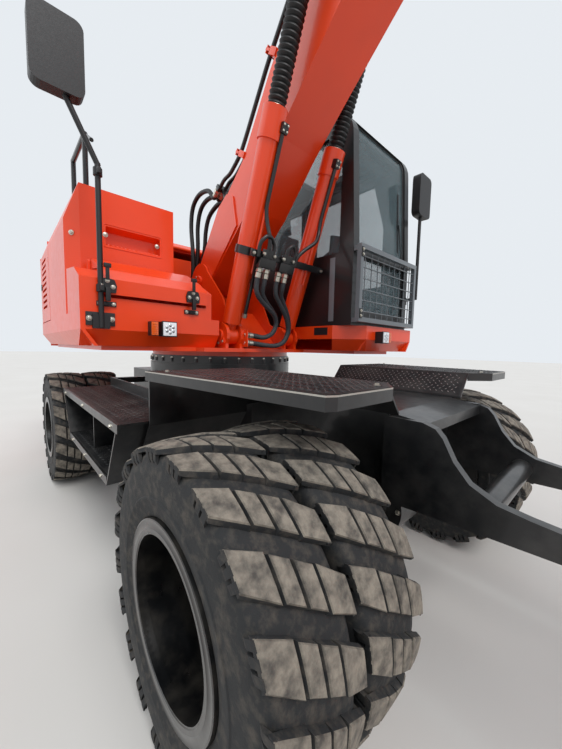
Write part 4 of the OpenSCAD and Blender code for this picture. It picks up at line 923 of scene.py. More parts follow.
def white_lamp(bm, centre):
    """Square work lamp that faces forward: bezel, clear lens and its row of reflectors."""
    m = Matrix.Translation(centre)
    box(bm, (-0.006, -0.047, -0.047), (0, 0.047, 0.047), 0.004, 0, m)
    box(bm, (-0.002, -0.041, -0.041), (0.006, 0.041, 0.041), 0.010, 1, m)
    for a, b in around(6, 0.023, 30):
        p = centre + V(0.006, a, b)
        lathe(bm, p, AHEAD, [(0.010, -0.001), (0.009, 0.002), (0.005, 0.004), (0, 0.0045)], 16, 3)
    lathe(bm, centre + V(0.006, 0, 0), AHEAD, [(0.009, -0.001), (0.008, 0.003), (0, 0.004)], 16, 3)


def amber_lamp(bm, centre):
    """Turn signal beside it, with a ribbed lens."""
    m = Matrix.Translation(centre)
    box(bm, (0, -0.020, -0.040), (0.008, 0.020, 0.040), 0.006, 2, m)
    for i in range(-2, 3):
        z = i * 0.0135
        box(bm, (0.007, -0.016, z - 0.004), (0.010, 0.016, z + 0.004), 0.001, 2, m)


def make_lamps():
    bm = bmesh.new()
    for front, white, amber in ((TOOL_X, -0.787, -0.8725), (CAB_DECK_X, 0.690, 0.7755)):
        white_lamp(bm, M(front + 0.0675, white, 1.44))
        amber_lamp(bm, M(front + 0.0502, amber, 1.44))
    for y in (CAB_Y0 + 0.12, CAB_Y1 - 0.12):
        white_lamp(bm, M(CAB_X1 - 0.2475, y, CAB_Z1 + 0.049))
    piece("lamp_lenses", bm, "upper", [PLASTIC, LENS, AMBER, REFLECTOR])


def grille(bm, place, w, h, bars, r=0.003):
    """Mesh of crossing wires on the plane place."""
    for i in range(bars[0] + 1):
        x = -w / 2 + w * i / bars[0]
        tube(bm, [place @ V(x, -h / 2, 0), place @ V(x, h / 2, 0)], r, 5)
    for i in range(bars[1] + 1):
        y = -h / 2 + h * i / bars[1]
        tube(bm, [place @ V(-w / 2, y, r), place @ V(w / 2, y, r)], r, 5)


TAIL_R = 2.75


def make_tail():
    bm = bmesh.new()
    grille(bm, Matrix.Translation(M(-2.695, 0, 1.75)) @ BACKWARD, 0.65, 0.29, (32, 14))
    piece("tail_grille", bm, "upper", MESH_AND_SHADE)
    bm = bmesh.new()
    # The lamps lie on the round of the counterweight
    y = 0.85
    x = -math.sqrt(TAIL_R ** 2 - y * y)
    for s in (-1, 1):
        m = frame_at(M(x, s * y, 1.66), (x, s * y, 0), (0, 0, 1))
        box(bm, (-0.05, -0.035, -0.012), (0.05, 0.035, 0.012), 0.006, 0, m)
        box(bm, (-0.044, -0.029, 0.010), (0.0, 0.029, 0.018), 0.004, 2, m)
        box(bm, (0.002, -0.029, 0.010), (0.044, 0.029, 0.018), 0.004, 1, m)
    piece("tail_lamps", bm, "upper", [PLASTIC, AMBER, LENS])
    bm = bmesh.new()
    top = M(-1.5, -0.82, HOOD_Z + 0.330)
    pipe = [(0.0522, -0.03), (0.0545, -0.028), (0.0545, 0.004), (0.047, 0.004), (0.046, 0.0004)]
    lathe(bm, top, UP, pipe, 32)
    # Near-black disc just below the rim: painted shade in the pipe's mouth
    lathe(bm, top, UP, [(0.046, 0.0004), (0, 0.0003)], 32, 1)
    piece("exhaust_tip", bm, "upper", [WORN, MESH_AND_SHADE])


def make_doors_and_hood():
    for name, s in (("door_right", -1), ("door_left", 1)):
        bm = bmesh.new()
        # Near-black strips on the door: painted shade in the gaps of the louvres
        for i in range(9):
            z = 1.662 + i * 0.05
            back, front = sorted((s * 1.2205, s * 1.2225))
            box(bm, M(-1.143, back, z - 0.011), M(-0.847, front, z + 0.011), 0.0004, 1)
        handle = M(-1.20, s * 1.243, 1.86)
        knob = [(0.030, -0.001), (0.030, 0.004), (0.026, 0.006), (0.016, 0.006), (0, 0.007)]
        lathe(bm, handle, (0, s, 0), knob, 28)
        piece("louvres_" + name, bm, name, [BLACK, MESH_AND_SHADE])
    bm = bmesh.new()
    # Near-black slats across the hood: painted shade in its vent slots
    for i in range(5):
        x = -1.7225 + i * 0.11
        box(bm, M(x - 0.0215, -0.419, HOOD_Z + 0.067), M(x + 0.0215, 0.419, HOOD_Z + 0.071), 0.001, 1)
    for y in (-0.45, 0.45):
        grip = [(-0.07, 0.088), (-0.07, 0.115), (0.07, 0.115), (0.07, 0.088)]
        tube(bm, bent([M(-1.86, y + a, HOOD_Z + b) for a, b in grip], 0.015), 0.007, 8)
    piece("hood_details", bm, "hood", [BLACK, MESH_AND_SHADE])


def make_blank_plate():
    """Bare plate on the platform's inner face, where the photograph shows a small one."""
    bm = bmesh.new()
    box(bm, M(0.83, 0.3605, 1.452), M(0.97, 0.3622, 1.512), 0.0005)
    piece("blank_plate", bm, "upper", BLANK, 0)


make_latches()
make_mirror_brackets()
make_mirrors()
make_tank_details()
make_lamps()
make_tail()
make_doors_and_hood()
make_blank_plate()


# Cab


def screen_x(z):
    """Outer face of the windscreen, which leans back above 2.15 m."""
    return CAB_X1 - 0.020 - 0.04 * max(0, z - 2.15) / 0.75


# Foot and head of the side and rear windows
PANE_Z0, PANE_Z1 = 2.08, 2.96


def make_seals():
    bm = bmesh.new()
    y0, y1 = CAB_Y0 + 0.07, CAB_Y1 - 0.07
    side = [(screen_x(z), z) for z in (2.10, 2.15, 2.90)]
    side += [(0.90 + 0.21 * math.cos(RAD(a)), 2.90 + 0.21 * math.sin(RAD(a))) for a in (12, 24, 36)]
    ring(bm, [M(x, y0, z) for x, z in side] + [M(x, y1, z) for x, z in side[::-1]], 0.009)
    ring(bm, [M(CAB_X1 - 0.022, y, z) for y, z in rectangle(y0, 1.64, y1, 2.05)], 0.008)
    pane = ((-0.42, PANE_Z0), (1.04, PANE_Z0), (1.04, 2.70), (0.90, PANE_Z1), (-0.42, PANE_Z1))
    ring(bm, [M(x, CAB_Y0 + 0.020, z) for x, z in pane], 0.009)
    pane = rectangle(-0.44, PANE_Z0, -0.15, PANE_Z1)
    ring(bm, [M(x, CAB_Y1 - 0.0225, z) for x, z in pane], 0.008)
    pane = rectangle(y0 + 0.02, 2.25, y1 - 0.02, PANE_Z1)
    ring(bm, [M(CAB_X0 + 0.020, y, z) for y, z in pane], 0.009)
    piece("window_seals", bm, "upper", SEAL)
    bm = bmesh.new()
    pane = ((0.06, 1.95), (0.93, 1.95), (0.93, 2.5), (0.81, 2.93), (0.06, 2.93))
    ring(bm, [M(x, CAB_Y1 - 0.0215, z) for x, z in pane], 0.009)
    box(bm, M(0.955, CAB_Y1 + 0.018, 1.98), M(0.978, CAB_Y1 + 0.030, 2.08), 0.005)
    piece("door_seal", bm, "cab_door", SEAL)


def make_wiper():
    bm = bmesh.new()
    pivot = M(CAB_X1 - 0.001, CAB_Y1 - 0.13, 2.075)
    lathe(bm, pivot, AHEAD, [(0.022, -0.002), (0.022, 0.006), (0.014, 0.012), (0, 0.014)], 20)
    y = CAB_Y1 - 0.17
    elbow = M(screen_x(2.42) + 0.018, y, 2.42)
    tube(bm, bent([pivot + V(0.008, 0, 0), elbow], 0.01), 0.006, 8)
    tube(bm, [M(screen_x(z) + 0.007, y, z) for z in (2.20, 2.42, 2.70)], 0.006, 8)
    box(bm, elbow + V(-0.014, -0.008, -0.014), elbow + V(0.006, 0.008, 0.014), 0.003)
    piece("wiper", bm, "upper", BLACK)


def make_cab_trim():
    bm = bmesh.new()
    # Grey strip on the inner front post, rain gutters, and the sun visor
    box(bm, M(0.955, CAB_Y0 - 0.0012, 1.56), M(1.005, CAB_Y0 + 0.0002, 2.05), 0.0004, 1)
    for y in (CAB_Y0 + 0.03, CAB_Y1 - 0.03):
        tube(bm, [M(-0.45, y, CAB_Z1 + 0.002), M(CAB_X1 - 0.30, y, CAB_Z1 + 0.002)], 0.006, 8)
    tube(bm, [M(CAB_X1 - 0.30, y, CAB_Z1 + 0.002) for y in (CAB_Y0 + 0.03, CAB_Y1 - 0.03)], 0.006, 8)
    box(bm, M(0.93, CAB_Y0 + 0.12, 2.93), M(1.02, CAB_Y1 - 0.12, 2.94), 0.003)
    # Black brackets on the guard's inner corners, each with two bright bolts
    lo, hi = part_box("cab_guard")
    for z in (lo[2] + 0.06, hi[2] - 0.06):
        box(bm, (hi[0], lo[1] + 0.004, z - 0.035), (hi[0] + 0.005, lo[1] + 0.036, z + 0.035), 0.002)
        for dz in (-0.018, 0.018):
            bolt(bm, V(hi[0] + 0.005, lo[1] + 0.020, z + dz), AHEAD, 0.008, 0.008, 2)
    piece("cab_trim", bm, "upper", [PLASTIC, STRIP, ZINC])


def lever(bm, foot, grip):
    """Joystick: boot, stem and a moulded grip."""
    lathe(bm, foot, UP, [
        (0.040, -0.002), (0.036, 0.012), (0.030, 0.016), (0.026, 0.03), (0.018, 0.034), (0.012, 0.06)
    ], 20)
    tube(bm, [foot + V(0, 0, 0.03), grip], 0.009, 8)
    box(bm, (-0.020, -0.024, -0.01), (0.024, 0.024, 0.105), 0.016, 0, frame_at(grip, (0.12, 0, 1)))


def make_controls():
    bm = bmesh.new()
    for y in (0.547, 1.093):
        lever(bm, M(0.34, y, 2.125), M(0.36, y, 2.22))
    # Monitor on the right front post, with a blank screen
    m = frame_at(M(0.98, 0.50, 2.16), (-0.85, 0.5, 0.15), (0, 0, 1))
    box(bm, (-0.075, -0.105, -0.015), (0.075, 0.105, 0.015), 0.008, 0, m)
    box(bm, (-0.062, -0.090, 0.0145), (0.062, 0.090, 0.0164), 0.0005, 1, m)
    tube(bm, [M(1.115, 0.43, 2.02), M(0.995, 0.495, 2.14)], 0.012, 8)
    for y in (0.62, 0.76, 0.92, 1.04):
        m = frame_at(M(0.95, y, 1.66), (-0.8, 0, 0.6), (0, 1, 0))
        box(bm, (-0.04, -0.07, -0.006), (0.04, 0.07, 0.006), 0.003, 0, m)
        tube(bm, [M(0.95, y, 1.655), M(0.99, y, 1.58)], 0.008, 6)
    piece("cab_controls", bm, "upper", [PLASTIC, BLANK])


def apply_modifiers(o):
    graph = bpy.context.evaluated_depsgraph_get()
    graph.update()
    mesh = bpy.data.meshes.new_from_object(o.evaluated_get(graph))
    o.modifiers.clear()
    o.data = mesh


def inflate(o, pressure, cap, frames=20):
    """Cloth under pressure fills the pad out; no point moves more than cap."""
    rest = [v.co.copy() for v in o.data.vertices]
    modifier = o.modifiers.new("cloth", "CLOTH")
    modifier.settings.use_pressure = True
    modifier.settings.uniform_pressure_force = pressure
    modifier.settings.effector_weights.gravity = 0
    scene = bpy.context.scene
    for f in range(1, frames + 1):
        scene.frame_set(f)
    apply_modifiers(o)
    scene.frame_set(1)
    for v, r in zip(o.data.vertices, rest):
        moved = v.co - r
        if moved.length > cap:
            v.co = r + moved.normalized() * cap


def swell(o, voxel, pressure, cap):
    """Turns a plain closed pad into a stuffed one."""
    remesh = o.modifiers.new("even", "REMESH")
    remesh.mode = "VOXEL"
    remesh.voxel_size = voxel
    apply_modifiers(o)
    inflate(o, pressure, cap)
    soft = o.modifiers.new("soft", "SUBSURF")
    soft.levels = 1
    soft.render_levels = 1
    apply_modifiers(o)
    for p in o.data.polygons:
        p.use_smooth = True


CUSHION = [(-0.035, 1.880), (0.44, 1.880), (0.455, 1.92), (0.44, 1.968), (-0.035, 1.968)]
ARM_PAD = rectangle(-0.01, 2.03, 0.39, 2.12)
# Pads of the seat: side outline (x, z), both ends across, and how far the pad may swell
SEAT_PADS = {
    "seat_cushion": (CUSHION, 0.605, 1.035, 0.012),
    "seat_back": ([(-0.045, 2.0), (0.035, 2.0), (-0.03, 2.585), (-0.115, 2.585)], 0.615, 1.025, 0.012),
    "head_rest": ([(-0.115, 2.61), (-0.045, 2.61), (-0.065, 2.775), (-0.13, 2.775)], 0.715, 0.925, 0.008),
    "armrest_right": (ARM_PAD, 0.515, 0.579, 0.004),
    "armrest_left": (ARM_PAD, 1.061, 1.125, 0.004),
}


def make_seat_pads():
    across = Matrix(((1, 0, 0), (0, 0, -1), (0, 1, 0))).to_4x4()
    for name, (outline, y0, y1, cap) in SEAT_PADS.items():
        bm = bmesh.new()
        prism(bm, outline, Matrix.Translation(M(0, y1, 0)) @ across, y1 - y0)
        o = piece(name, bm, "upper", SEAT_CLOTH, 0)
        swell(o, 0.010, 4, cap)


def make_seat_frame():
    bm = bmesh.new()
    box(bm, M(0.03, 0.69, 1.586), M(0.29, 0.95, 1.62), 0.006)
    # Folded boot of the suspension
    fold = [(0.112, 0), (0.124, 0.016), (0.112, 0.033)]
    for k in range(6):
        lathe(bm, M(0.16, 0.82, 1.62 + 0.033 * k), UP, fold, 32)
    box(bm, M(-0.04, 0.62, 1.818), M(0.44, 1.02, 1.876), 0.01)
    for y0, y1 in ((0.512, 0.62), (1.02, 1.128)):
        box(bm, M(-0.015, y0, 1.86), M(0.035, y1, 1.905), 0.006)
    for y in (0.512, 1.047):
        box(bm, M(-0.018, y, 1.902), M(0.038, y + 0.081, 2.030), 0.008)
    for y in (0.78, 0.84):
        box(bm, M(-0.115, y, 2.57), M(-0.085, y + 0.02, 2.63), 0.003)
    frame_piece = piece("seat_frame", bm, "upper", PLASTIC)
    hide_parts("seat")


make_seals()
make_wiper()
make_cab_trim()
make_controls()
make_seat_pads()
make_seat_frame()


# Pins of the working arm


def pin_end(bm, p, side, r, keeper=None):
    """End of a pin: chamfered face, grease nipple and, along keeper, a keeper plate with two bolts."""
    d = V(0, side, 0)
    end = [(r, -0.004), (r, 0.004), (r - 0.004, 0.008), (0.008, 0.008), (0.007, 0.013), (0, 0.014)]
    lathe(bm, p, d, end, 28)
    if keeper:
        k = Vector(keeper).normalized()
        m = Matrix.Translation(p + k * (r + 0.012)) @ turned(k, d.cross(k), d)
        box(bm, (-0.028, -0.045, -0.011), (0.016, 0.045, 0.002), 0.002, 0, m)
        for e in (-0.028, 0.028):
            bolt(bm, m @ V(0.0, e, 0.002), d, 0.009, 0.008, 1)


DOWN = (0.25, 0, -1)
BACK = (-1, 0, 0.2)
# Body, then its pins: centre, distance of the end from the middle, radius and direction of the keeper
PINS = {
    "upper": [(BOOM.o, 0.224, 0.042, BACK), (RAM_FOOT, 0.368, 0.042, DOWN)],
    "boom": [(STICK_FOOT, 0.130, 0.042, BACK)],
    "lift_rods": [(RAM_EYE, 0.325, 0.042, None)],
    "arm": [(ARM.o, 0.222, 0.052, None), (CROWD_FOOT, 0.118, 0.042, None), (STICK_EYE, 0.110, 0.042, None)],
    "bucket": [(BUCKET.o, 0.215, 0.042, None), (LUG_PIN, 0.215, 0.042, None)],
    "rocker": [(ROCK_PIN, 0.194, 0.032, None), (LINK_PIN, 0.194, 0.034, None)],
}


def make_pins():
    for body, rows in PINS.items():
        bm = bmesh.new()
        for p, y, r, keeper in rows:
            for side in (-1, 1):
                pin_end(bm, p + V(0, side * (y - 0.0045), 0), side, r, keeper)
        piece("pin_ends_" + body, bm, body, [RED, ZINC])


# Pipes and hoses


def ferrule(bm, p, d, r, mat=0):
    """Crimped sleeve over the end of a hose, which leaves the hose at p along d, and its nut."""
    lathe(bm, p, d, [(r * 1.02, -0.046), (r * 1.2, -0.042), (r * 1.2, -0.010), (r * 0.9, -0.006)], 16, mat)
    nut = [(r * 0.9, -0.006), (r * 1.38, -0.005), (r * 1.38, 0.016), (r * 0.8, 0.018), (r * 0.8, 0.030)]
    lathe(bm, p, d, nut, 6, mat)


def hose(name, points, r, bodies, mat, blocks=()):
    """Hose through the points given, between two bodies. Its fittings screw into blocks."""
    path = curve_through(points)
    bm = bmesh.new()
    tube(bm, path, r, 12)
    o = piece(name, bm, None, mat, 60)
    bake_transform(o)
    on_it = list(blocks)
    for k, (p, q) in enumerate(((path[0], path[1]), (path[-1], path[-2]))):
        bm = bmesh.new()
        ferrule(bm, p, p - q, r)
        on_it.append(piece(name + "_fitting_" + str(k + 1), bm, bodies[k], ZINC))


def block_piece(name, body, mats, lo, hi, m):
    """Connecting block that hoses screw into."""
    bm = bmesh.new()
    box(bm, lo, hi, 0.006, 0, m)
    return piece(name, bm, body, mats)


def strap_nut(bm, p, d, r=0.012, h=0.014, mat=1):
    lathe(bm, p, d, [(r, -0.001), (r, h - 0.002), (r * 0.7, h), (0, h)], 6, mat)


BLOCK_W = -0.142
ARCH_W = -0.162
# Both ends across the machine of the blocks that the lift hoses screw into
BLOCK_YS = [(-0.285, -0.150), (-0.110, 0.025)]
LIFT_HOSE_R = 0.0175
# Hoses of the boom's cylinders, from the blocks between the barrels down to the rail beside them: where each
# leaves its block across the machine, then its points in the machine's axes
LIFT_HOSES = {
    -0.250: [
        (0.820, -0.232, 1.715), (0.796, -0.165, 1.665), (0.775, -0.085, 1.625), (0.750, -0.008, 1.583),
        (0.728, 0.030, 1.520), (0.710, 0.006, 1.450), (0.685, -0.056, 1.418), (0.655, -0.118, 1.428),
        (0.645, -0.182, 1.430)
    ],
    -0.186: [
        (0.800, -0.168, 1.720), (0.770, -0.105, 1.670), (0.742, -0.030, 1.627), (0.708, 0.038, 1.583),
        (0.680, 0.070, 1.520), (0.662, 0.042, 1.450), (0.635, -0.026, 1.420), (0.600, -0.118, 1.430),
        (0.590, -0.182, 1.434)
    ],
    -0.076: [
        (0.820, -0.060, 1.725), (0.800, -0.010, 1.680), (0.780, 0.060, 1.615), (0.752, 0.124, 1.550),
        (0.728, 0.158, 1.470), (0.712, 0.130, 1.392), (0.700, 0.060, 1.358), (0.682, -0.030, 1.358),
        (0.655, -0.118, 1.370), (0.645, -0.182, 1.372)
    ],
    -0.010: [
        (0.802, 0.008, 1.730), (0.775, 0.060, 1.680), (0.748, 0.125, 1.610), (0.715, 0.178, 1.545),
        (0.688, 0.203, 1.468), (0.668, 0.172, 1.392), (0.652, 0.100, 1.360), (0.630, -0.010, 1.358),
        (0.600, -0.118, 1.370), (0.590, -0.182, 1.372)
    ],
}


def make_lift_bar():
    """Clamp bar across the two barrels, the blocks on it and the pipes bent over above them."""
    bm = bmesh.new()
    m = LIFT.place()
    front = -LIFT.w
    box(bm, (0.592, -0.345, -0.152), (0.638, 0.345, -0.132), 0.003, 0, m)
    for s in (-1, 1):
        y = s * (RAM_Y - 0.021)
        box(bm, (0.597, y - 0.028, -0.134), (0.633, y + 0.028, -0.0935), 0.002, 0, m)
        strap_nut(bm, LIFT.at(0.615, s * (RAM_Y + 0.045), -0.152), front)
        lathe(bm, LIFT.at(0.588, s * RAM_Y, 0), LIFT.u, [
            (0.0742, 0), (0.0770, 0.001), (0.0770, 0.053), (0.0742, 0.054)
        ], 40)
    for y0, y1 in BLOCK_YS:
        box(bm, (0.600, y0 + 0.02, -0.172), (0.655, y1 - 0.02, -0.152), 0.006, 0, m)
    for y in (-0.262, -0.174, -0.088, 0.002):
        strap_nut(bm, LIFT.at(0.625, y, -0.172), front)
    # Place along the cylinders and across them
    wide = [(0.60, -0.300), (0.69, -0.302), (0.735, -0.262), (0.735, -0.222), (0.69, -0.180), (0.60, -0.178)]
    small = [(0.60, -0.060), (0.70, -0.058), (0.73, -0.020), (0.69, 0.015), (0.60, 0.012)]
    for arch, bend, r in ((wide, 0.035, 0.013), (small, 0.03, 0.012)):
        tube(bm, bent([LIFT.at(u, y, ARCH_W) for u, y in arch], bend), r, 12)
    piece("lift_bar", bm, "lift_barrels", [BLACK, ZINC])


def make_lift_pipes():
    """Pipes from the blocks to the heads and feet of the boom's cylinders."""
    bm = bmesh.new()
    m = LIFT.place()
    w = -RAM_R - 0.010
    for s in (-1, 1):
        y = s * (RAM_Y - 0.030)
        box(bm, (1.305, y - 0.024, w - 0.022), (1.362, y + 0.024, w + 0.020), 0.006, 0, m)
        for u in (1.318, 1.349):
            for dy in (-0.014, 0.014):
                strap_nut(bm, LIFT.at(u, y + dy, w - 0.022), -LIFT.w, 0.007, 0.007)
    near = [
        (1.31, -0.255, w), (0.89, -0.255, w), (0.80, -0.240, -0.110), (0.72, -0.225, -0.160),
        (0.60, -0.222, ARCH_W)
    ]
    far = [
        (1.31, 0.255, w), (0.95, 0.256, w), (0.87, 0.250, -0.100), (0.80, 0.200, -0.150),
        (0.72, 0.090, -0.160), (0.66, 0.040, -0.160), (0.60, 0.036, -0.160)
    ]
    down = [(0.60, -0.300, -0.155), (0.50, -0.262, -0.110), (0.40, -0.240, -0.084), (0.19, -0.240, -0.080)]
    for line in (near, far, down):
        tube(bm, bent([LIFT.at(*p) for p in line], 0.06), 0.0135, 12)
    strap_nut(bm, LIFT.at(0.195, -0.240, -0.080), -LIFT.u, 0.019, 0.03)
    piece("lift_pipes", bm, "lift_barrels", [BLACK, ZINC])


def make_lift_hoses():
    """Two hoses screw into each of the two blocks on the bar."""
    blocks = []
    for i, (y0, y1) in enumerate(BLOCK_YS):
        name = "lift_block_" + str(i + 1)
        blocks.append(block_piece(name, "lift_barrels", BLACK, (0.535, y0, -0.180),
                                  (0.600, y1, -0.134), LIFT.place()))
    for i, (y, rest) in enumerate(LIFT_HOSES.items()):
        name = "lift_hose_" + str(i + 1)
        points = [LIFT.at(0.512, y, BLOCK_W), LIFT.at(0.435, y, -0.146)] + [M(*p) for p in rest]
        hose(name, points, LIFT_HOSE_R, ("lift_barrels", "upper"), HOSE, [blocks[i // 2]])
    # Bulkhead on the right rail that takes their lower ends
    bm = bmesh.new()
    box(bm, M(0.555, -0.2080, 1.342), M(0.680, -0.2000, 1.465), 0.002)
    piece("hose_bulkhead", bm, "upper", RED)


# Bellows on the rods of the boom's cylinders: they end short of the rod's eye
ROD_EYE_R = 0.075
BELLOWS_END = (RAM_EYE - RAM_FOOT).length - ROD_EYE_R - 0.020
BELLOWS_R = 0.058
VALLEY = 0.012
ROD_R = 0.042
FOLDS = 30
SEAT_GAP = 0.0003


def make_bellows():
    """Folded rubber over both rods, between barrel and rod."""
    pitch = (BELLOWS_END - RAM_L) / FOLDS
    bore = ROD_R + 0.0005
    foot = RAM_L + SEAT_GAP
    profile = [(bore, foot)]
    for i in range(FOLDS):
        # A fold: valley, flank, crest and flank
        for drop, k in ((VALLEY, 0), (0.0035, 0.28), (0, 0.5), (0.0035, 0.72)):
            profile.append((BELLOWS_R - drop, foot + (i + k) * pitch))
    profile += [(BELLOWS_R - VALLEY, BELLOWS_END), (bore, BELLOWS_END), profile[0]]
    bm = bmesh.new()
    for s in (-1, 1):
        lathe(bm, LIFT.at(0, s * RAM_Y, 0), LIFT.u, profile, 40)
    bmesh.ops.remove_doubles(bm, verts=bm.verts, dist=0.00005)
    o = piece("bellows", bm, None, RUBBER, 50)
    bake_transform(o)
    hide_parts("rod_bellows")


def make_bellows_clamps():
    """Bright bands that hold the bellows on each boom cylinder."""
    band = [(0.0455, 0.0), (0.0590, 0.0), (0.0600, 0.002), (0.0600, 0.014), (0.0590, 0.016), (0.0455, 0.016)]
    for body, u in (("lift_barrels", RAM_L - 0.008), ("lift_rods", BELLOWS_END - 0.004)):
        bm = bmesh.new()
        for s in (-1, 1):
            lathe(bm, LIFT.at(u, s * RAM_Y, 0), LIFT.u, band, 36)
            strap_nut(bm, LIFT.at(u + 0.008, s * RAM_Y, -0.0595), -LIFT.w, 0.006, 0.008, 0)
        piece("clamps_" + body, bm, body, ZINC)


# Where the three large pipes end along the boom, and the two thin ones
PIPE_END = 2.62
TIP_PIPE_END = 5.0
# Height of the boom's top face above its axis, along the boom
BOOM_TOP = [
    (0.0, 0.13), (0.64, 0.372), (0.902, 0.43), (1.363, 0.685), (1.9, 0.925), (2.2, 1.07),
    (PIPE_END, 1.152), (3.0, 1.088), (3.35, 0.965), (4.3, 0.62), (5.1, 0.33)
]
PIPE_YS = (-0.165, -0.115, -0.065)
TIP_PIPE_YS = (0.125, 0.160)
PIPE_RISE = 0.088
TIP_PIPE_RISE = 0.026
# The thin pipes lie this much nearer the middle on the arm than on the boom
ARM_SHIFT = 0.03


def on_boom(u, y, rise):
    """Point above the boom's top face."""
    for (u0, w0), (u1, w1) in zip(BOOM_TOP, BOOM_TOP[1:]):
        if u <= u1:
            break
    return BOOM.at(u, y, w0 + (w1 - w0) * (u - u0) / (u1 - u0) + rise)


def on_boom_place(u):
    """Axes on the boom's top face: X along it, Z away from it."""
    p = on_boom(u - 0.01, 0, 0)
    q = on_boom(u + 0.01, 0, 0)
    return Axes((p + q) / 2, angle_to(p, q)).place()


def make_boom_pipes():
    bm = bmesh.new()
    for y in PIPE_YS:
        line = [BOOM.at(0.570, y, 0.525), BOOM.at(0.64, y, 0.532), BOOM.at(0.72, y, 0.500)]
        line += [on_boom(u, y, PIPE_RISE) for u in (0.88, 1.0, 1.36, 1.9, 2.2, PIPE_END)]
        tube(bm, bent(line, 0.08), 0.015, 10)
    # Stand of the block at their foot
    box(bm, (0.550, -0.150, 0.335), (0.570, -0.080, 0.508), 0.003, 0, BOOM.place())
    for y in TIP_PIPE_YS:
        runs = (0.9, 1.36, 1.9, 2.2, PIPE_END, 3.0, 3.35, 4.3, TIP_PIPE_END)
        line = [BOOM.at(0.60, y, 0.430)] + [on_boom(u, y, TIP_PIPE_RISE) for u in runs]
        tube(bm, bent(line, 0.08), 0.013, 10)
    piece("boom_pipes", bm, "boom", BLACK)
    bm = bmesh.new()
    for u in (0.93, 1.45, 2.05, 2.5):
        m = on_boom_place(u)
        box(bm, (-0.022, -0.190, -0.006), (0.022, -0.040, 0.072), 0.004, 0, m)
        box(bm, (-0.022, -0.190, 0.104), (0.022, -0.040, 0.114), 0.003, 0, m)
        for y in (-0.187, -0.140, -0.090, -0.043):
            box(bm, (-0.008, y - 0.004, 0.07), (0.008, y + 0.004, 0.118), 0.001, 0, m)
    for u in (1.15, 1.7, 2.4, 3.15, 3.8, 4.5):
        box(bm, (-0.018, 0.100, -0.006), (0.018, 0.180, 0.050), 0.004, 0, on_boom_place(u))
    piece("boom_saddles", bm, "boom", RED)


ROOT_HOSE_R = 0.0195
# Hoses from the control valves up and over to the boom's pipes: place across the machine at the pipes, then
# points in the machine's axes
ROOT_HOSES = {
    -0.165: [
        (-0.360, -0.165, 1.640), (-0.345, -0.164, 1.720), (-0.285, -0.163, 1.950), (-0.275, -0.162, 2.200),
        (-0.310, -0.162, 2.470), (-0.275, -0.162, 2.640), (-0.150, -0.163, 2.712), (0.020, -0.165, 2.690)
    ],
    -0.115: [
        (-0.360, -0.115, 1.640), (-0.358, -0.115, 1.720), (-0.325, -0.115, 1.950), (-0.270, -0.115, 2.250),
        (-0.270, -0.115, 2.470), (-0.215, -0.115, 2.610), (-0.100, -0.115, 2.665), (0.060, -0.115, 2.650)
    ],
    -0.065: [
        (-0.360, -0.065, 1.640), (-0.370, -0.065, 1.720), (-0.350, -0.065, 1.950), (-0.235, -0.065, 2.250),
        (-0.205, -0.065, 2.430), (-0.145, -0.065, 2.545), (-0.030, -0.065, 2.600), (0.070, -0.065, 2.610)
    ],
}
VALVE_Z = 1.60


def make_valves():
    """Control valves between the rails, with their spool ends."""
    bm = bmesh.new()
    box(bm, M(-0.56, -0.185, DECK_Z0 + 0.0015), M(-0.22, 0.185, 1.42), 0.004, 1)
    box(bm, M(-0.53, -0.180, 1.418), M(-0.25, 0.180, VALVE_Z), 0.010, 0)
    for i in range(6):
        y = -0.15 + i * 0.06
        box(bm, M(-0.252, y - 0.022, 1.45), M(-0.205, y + 0.022, 1.56), 0.006, 0)
        spool = [(0.017, 0), (0.017, 0.02), (0.010, 0.024), (0, 0.024)]
        lathe(bm, M(-0.206, y, 1.505), AHEAD, spool, 16, 2)
    piece("control_valves", bm, "upper", [IRON, RED, ZINC])


def make_root_hoses():
    foot = block_piece("valve_block", "upper", IRON, M(-0.395, -0.187, VALVE_Z - 0.002),
                       M(-0.325, -0.043, VALVE_Z + 0.016), None)
    head = block_piece("boom_block", "boom", BLACK, (0.540, -0.187, 0.505),
                       (0.572, -0.043, 0.552), BOOM.place())
    for i, (y, rest) in enumerate(ROOT_HOSES.items()):
        points = [M(*p) for p in rest] + [BOOM.at(0.455, y, 0.528), BOOM.at(0.516, y, 0.528)]
        hose("boom_hose_" + str(i + 1), points, ROOT_HOSE_R, ("upper", "boom"), RUBBER, [foot, head])


def make_arm_ports():
    """Ports of the arm's cylinder, the pipe to the far one, and its clips."""
    bm = bmesh.new()
    for u in (0.245, 1.80):
        box(bm, (-0.024, -0.024, -0.012), (0.024, 0.024, 0.024), 0.005, 0, STICK.place(u, 0, 0.071))
    line = [(1.80, 0.0, 0.088), (1.72, 0.028, 0.098), (0.36, 0.028, 0.098), (0.30, 0.028, 0.098)]
    tube(bm, bent([STICK.at(*p) for p in line], 0.05), 0.011, 10)
    for u in (0.6, 1.1, 1.6):
        box(bm, (-0.014, 0.012, -0.012), (0.014, 0.044, 0.042), 0.003, 0, STICK.place(u, 0, 0.070))
    piece("arm_cylinder_ports", bm, "stick_barrel", BLACK)


def make_arm_pipes():
    """Pipes on the arm that take the hoses of the bucket's cylinder."""
    bm = bmesh.new()
    for y in TIP_PIPE_YS:
        line = [ARM.at(u, y - ARM_SHIFT, w) for u, w in ((0.18, 0.394), (0.34, 0.368), (0.62, 0.330))]
        tube(bm, bent(line, 0.05), 0.011, 10)
    for u in (0.28, 0.52):
        w = 0.357 - 0.14 * (u - 0.28)
        box(bm, (-0.016, 0.080, -0.02), (0.016, 0.139, 0.036), 0.004, 1, ARM.place(u, 0, w))
    piece("arm_pipes", bm, "arm", [BLACK, RED])


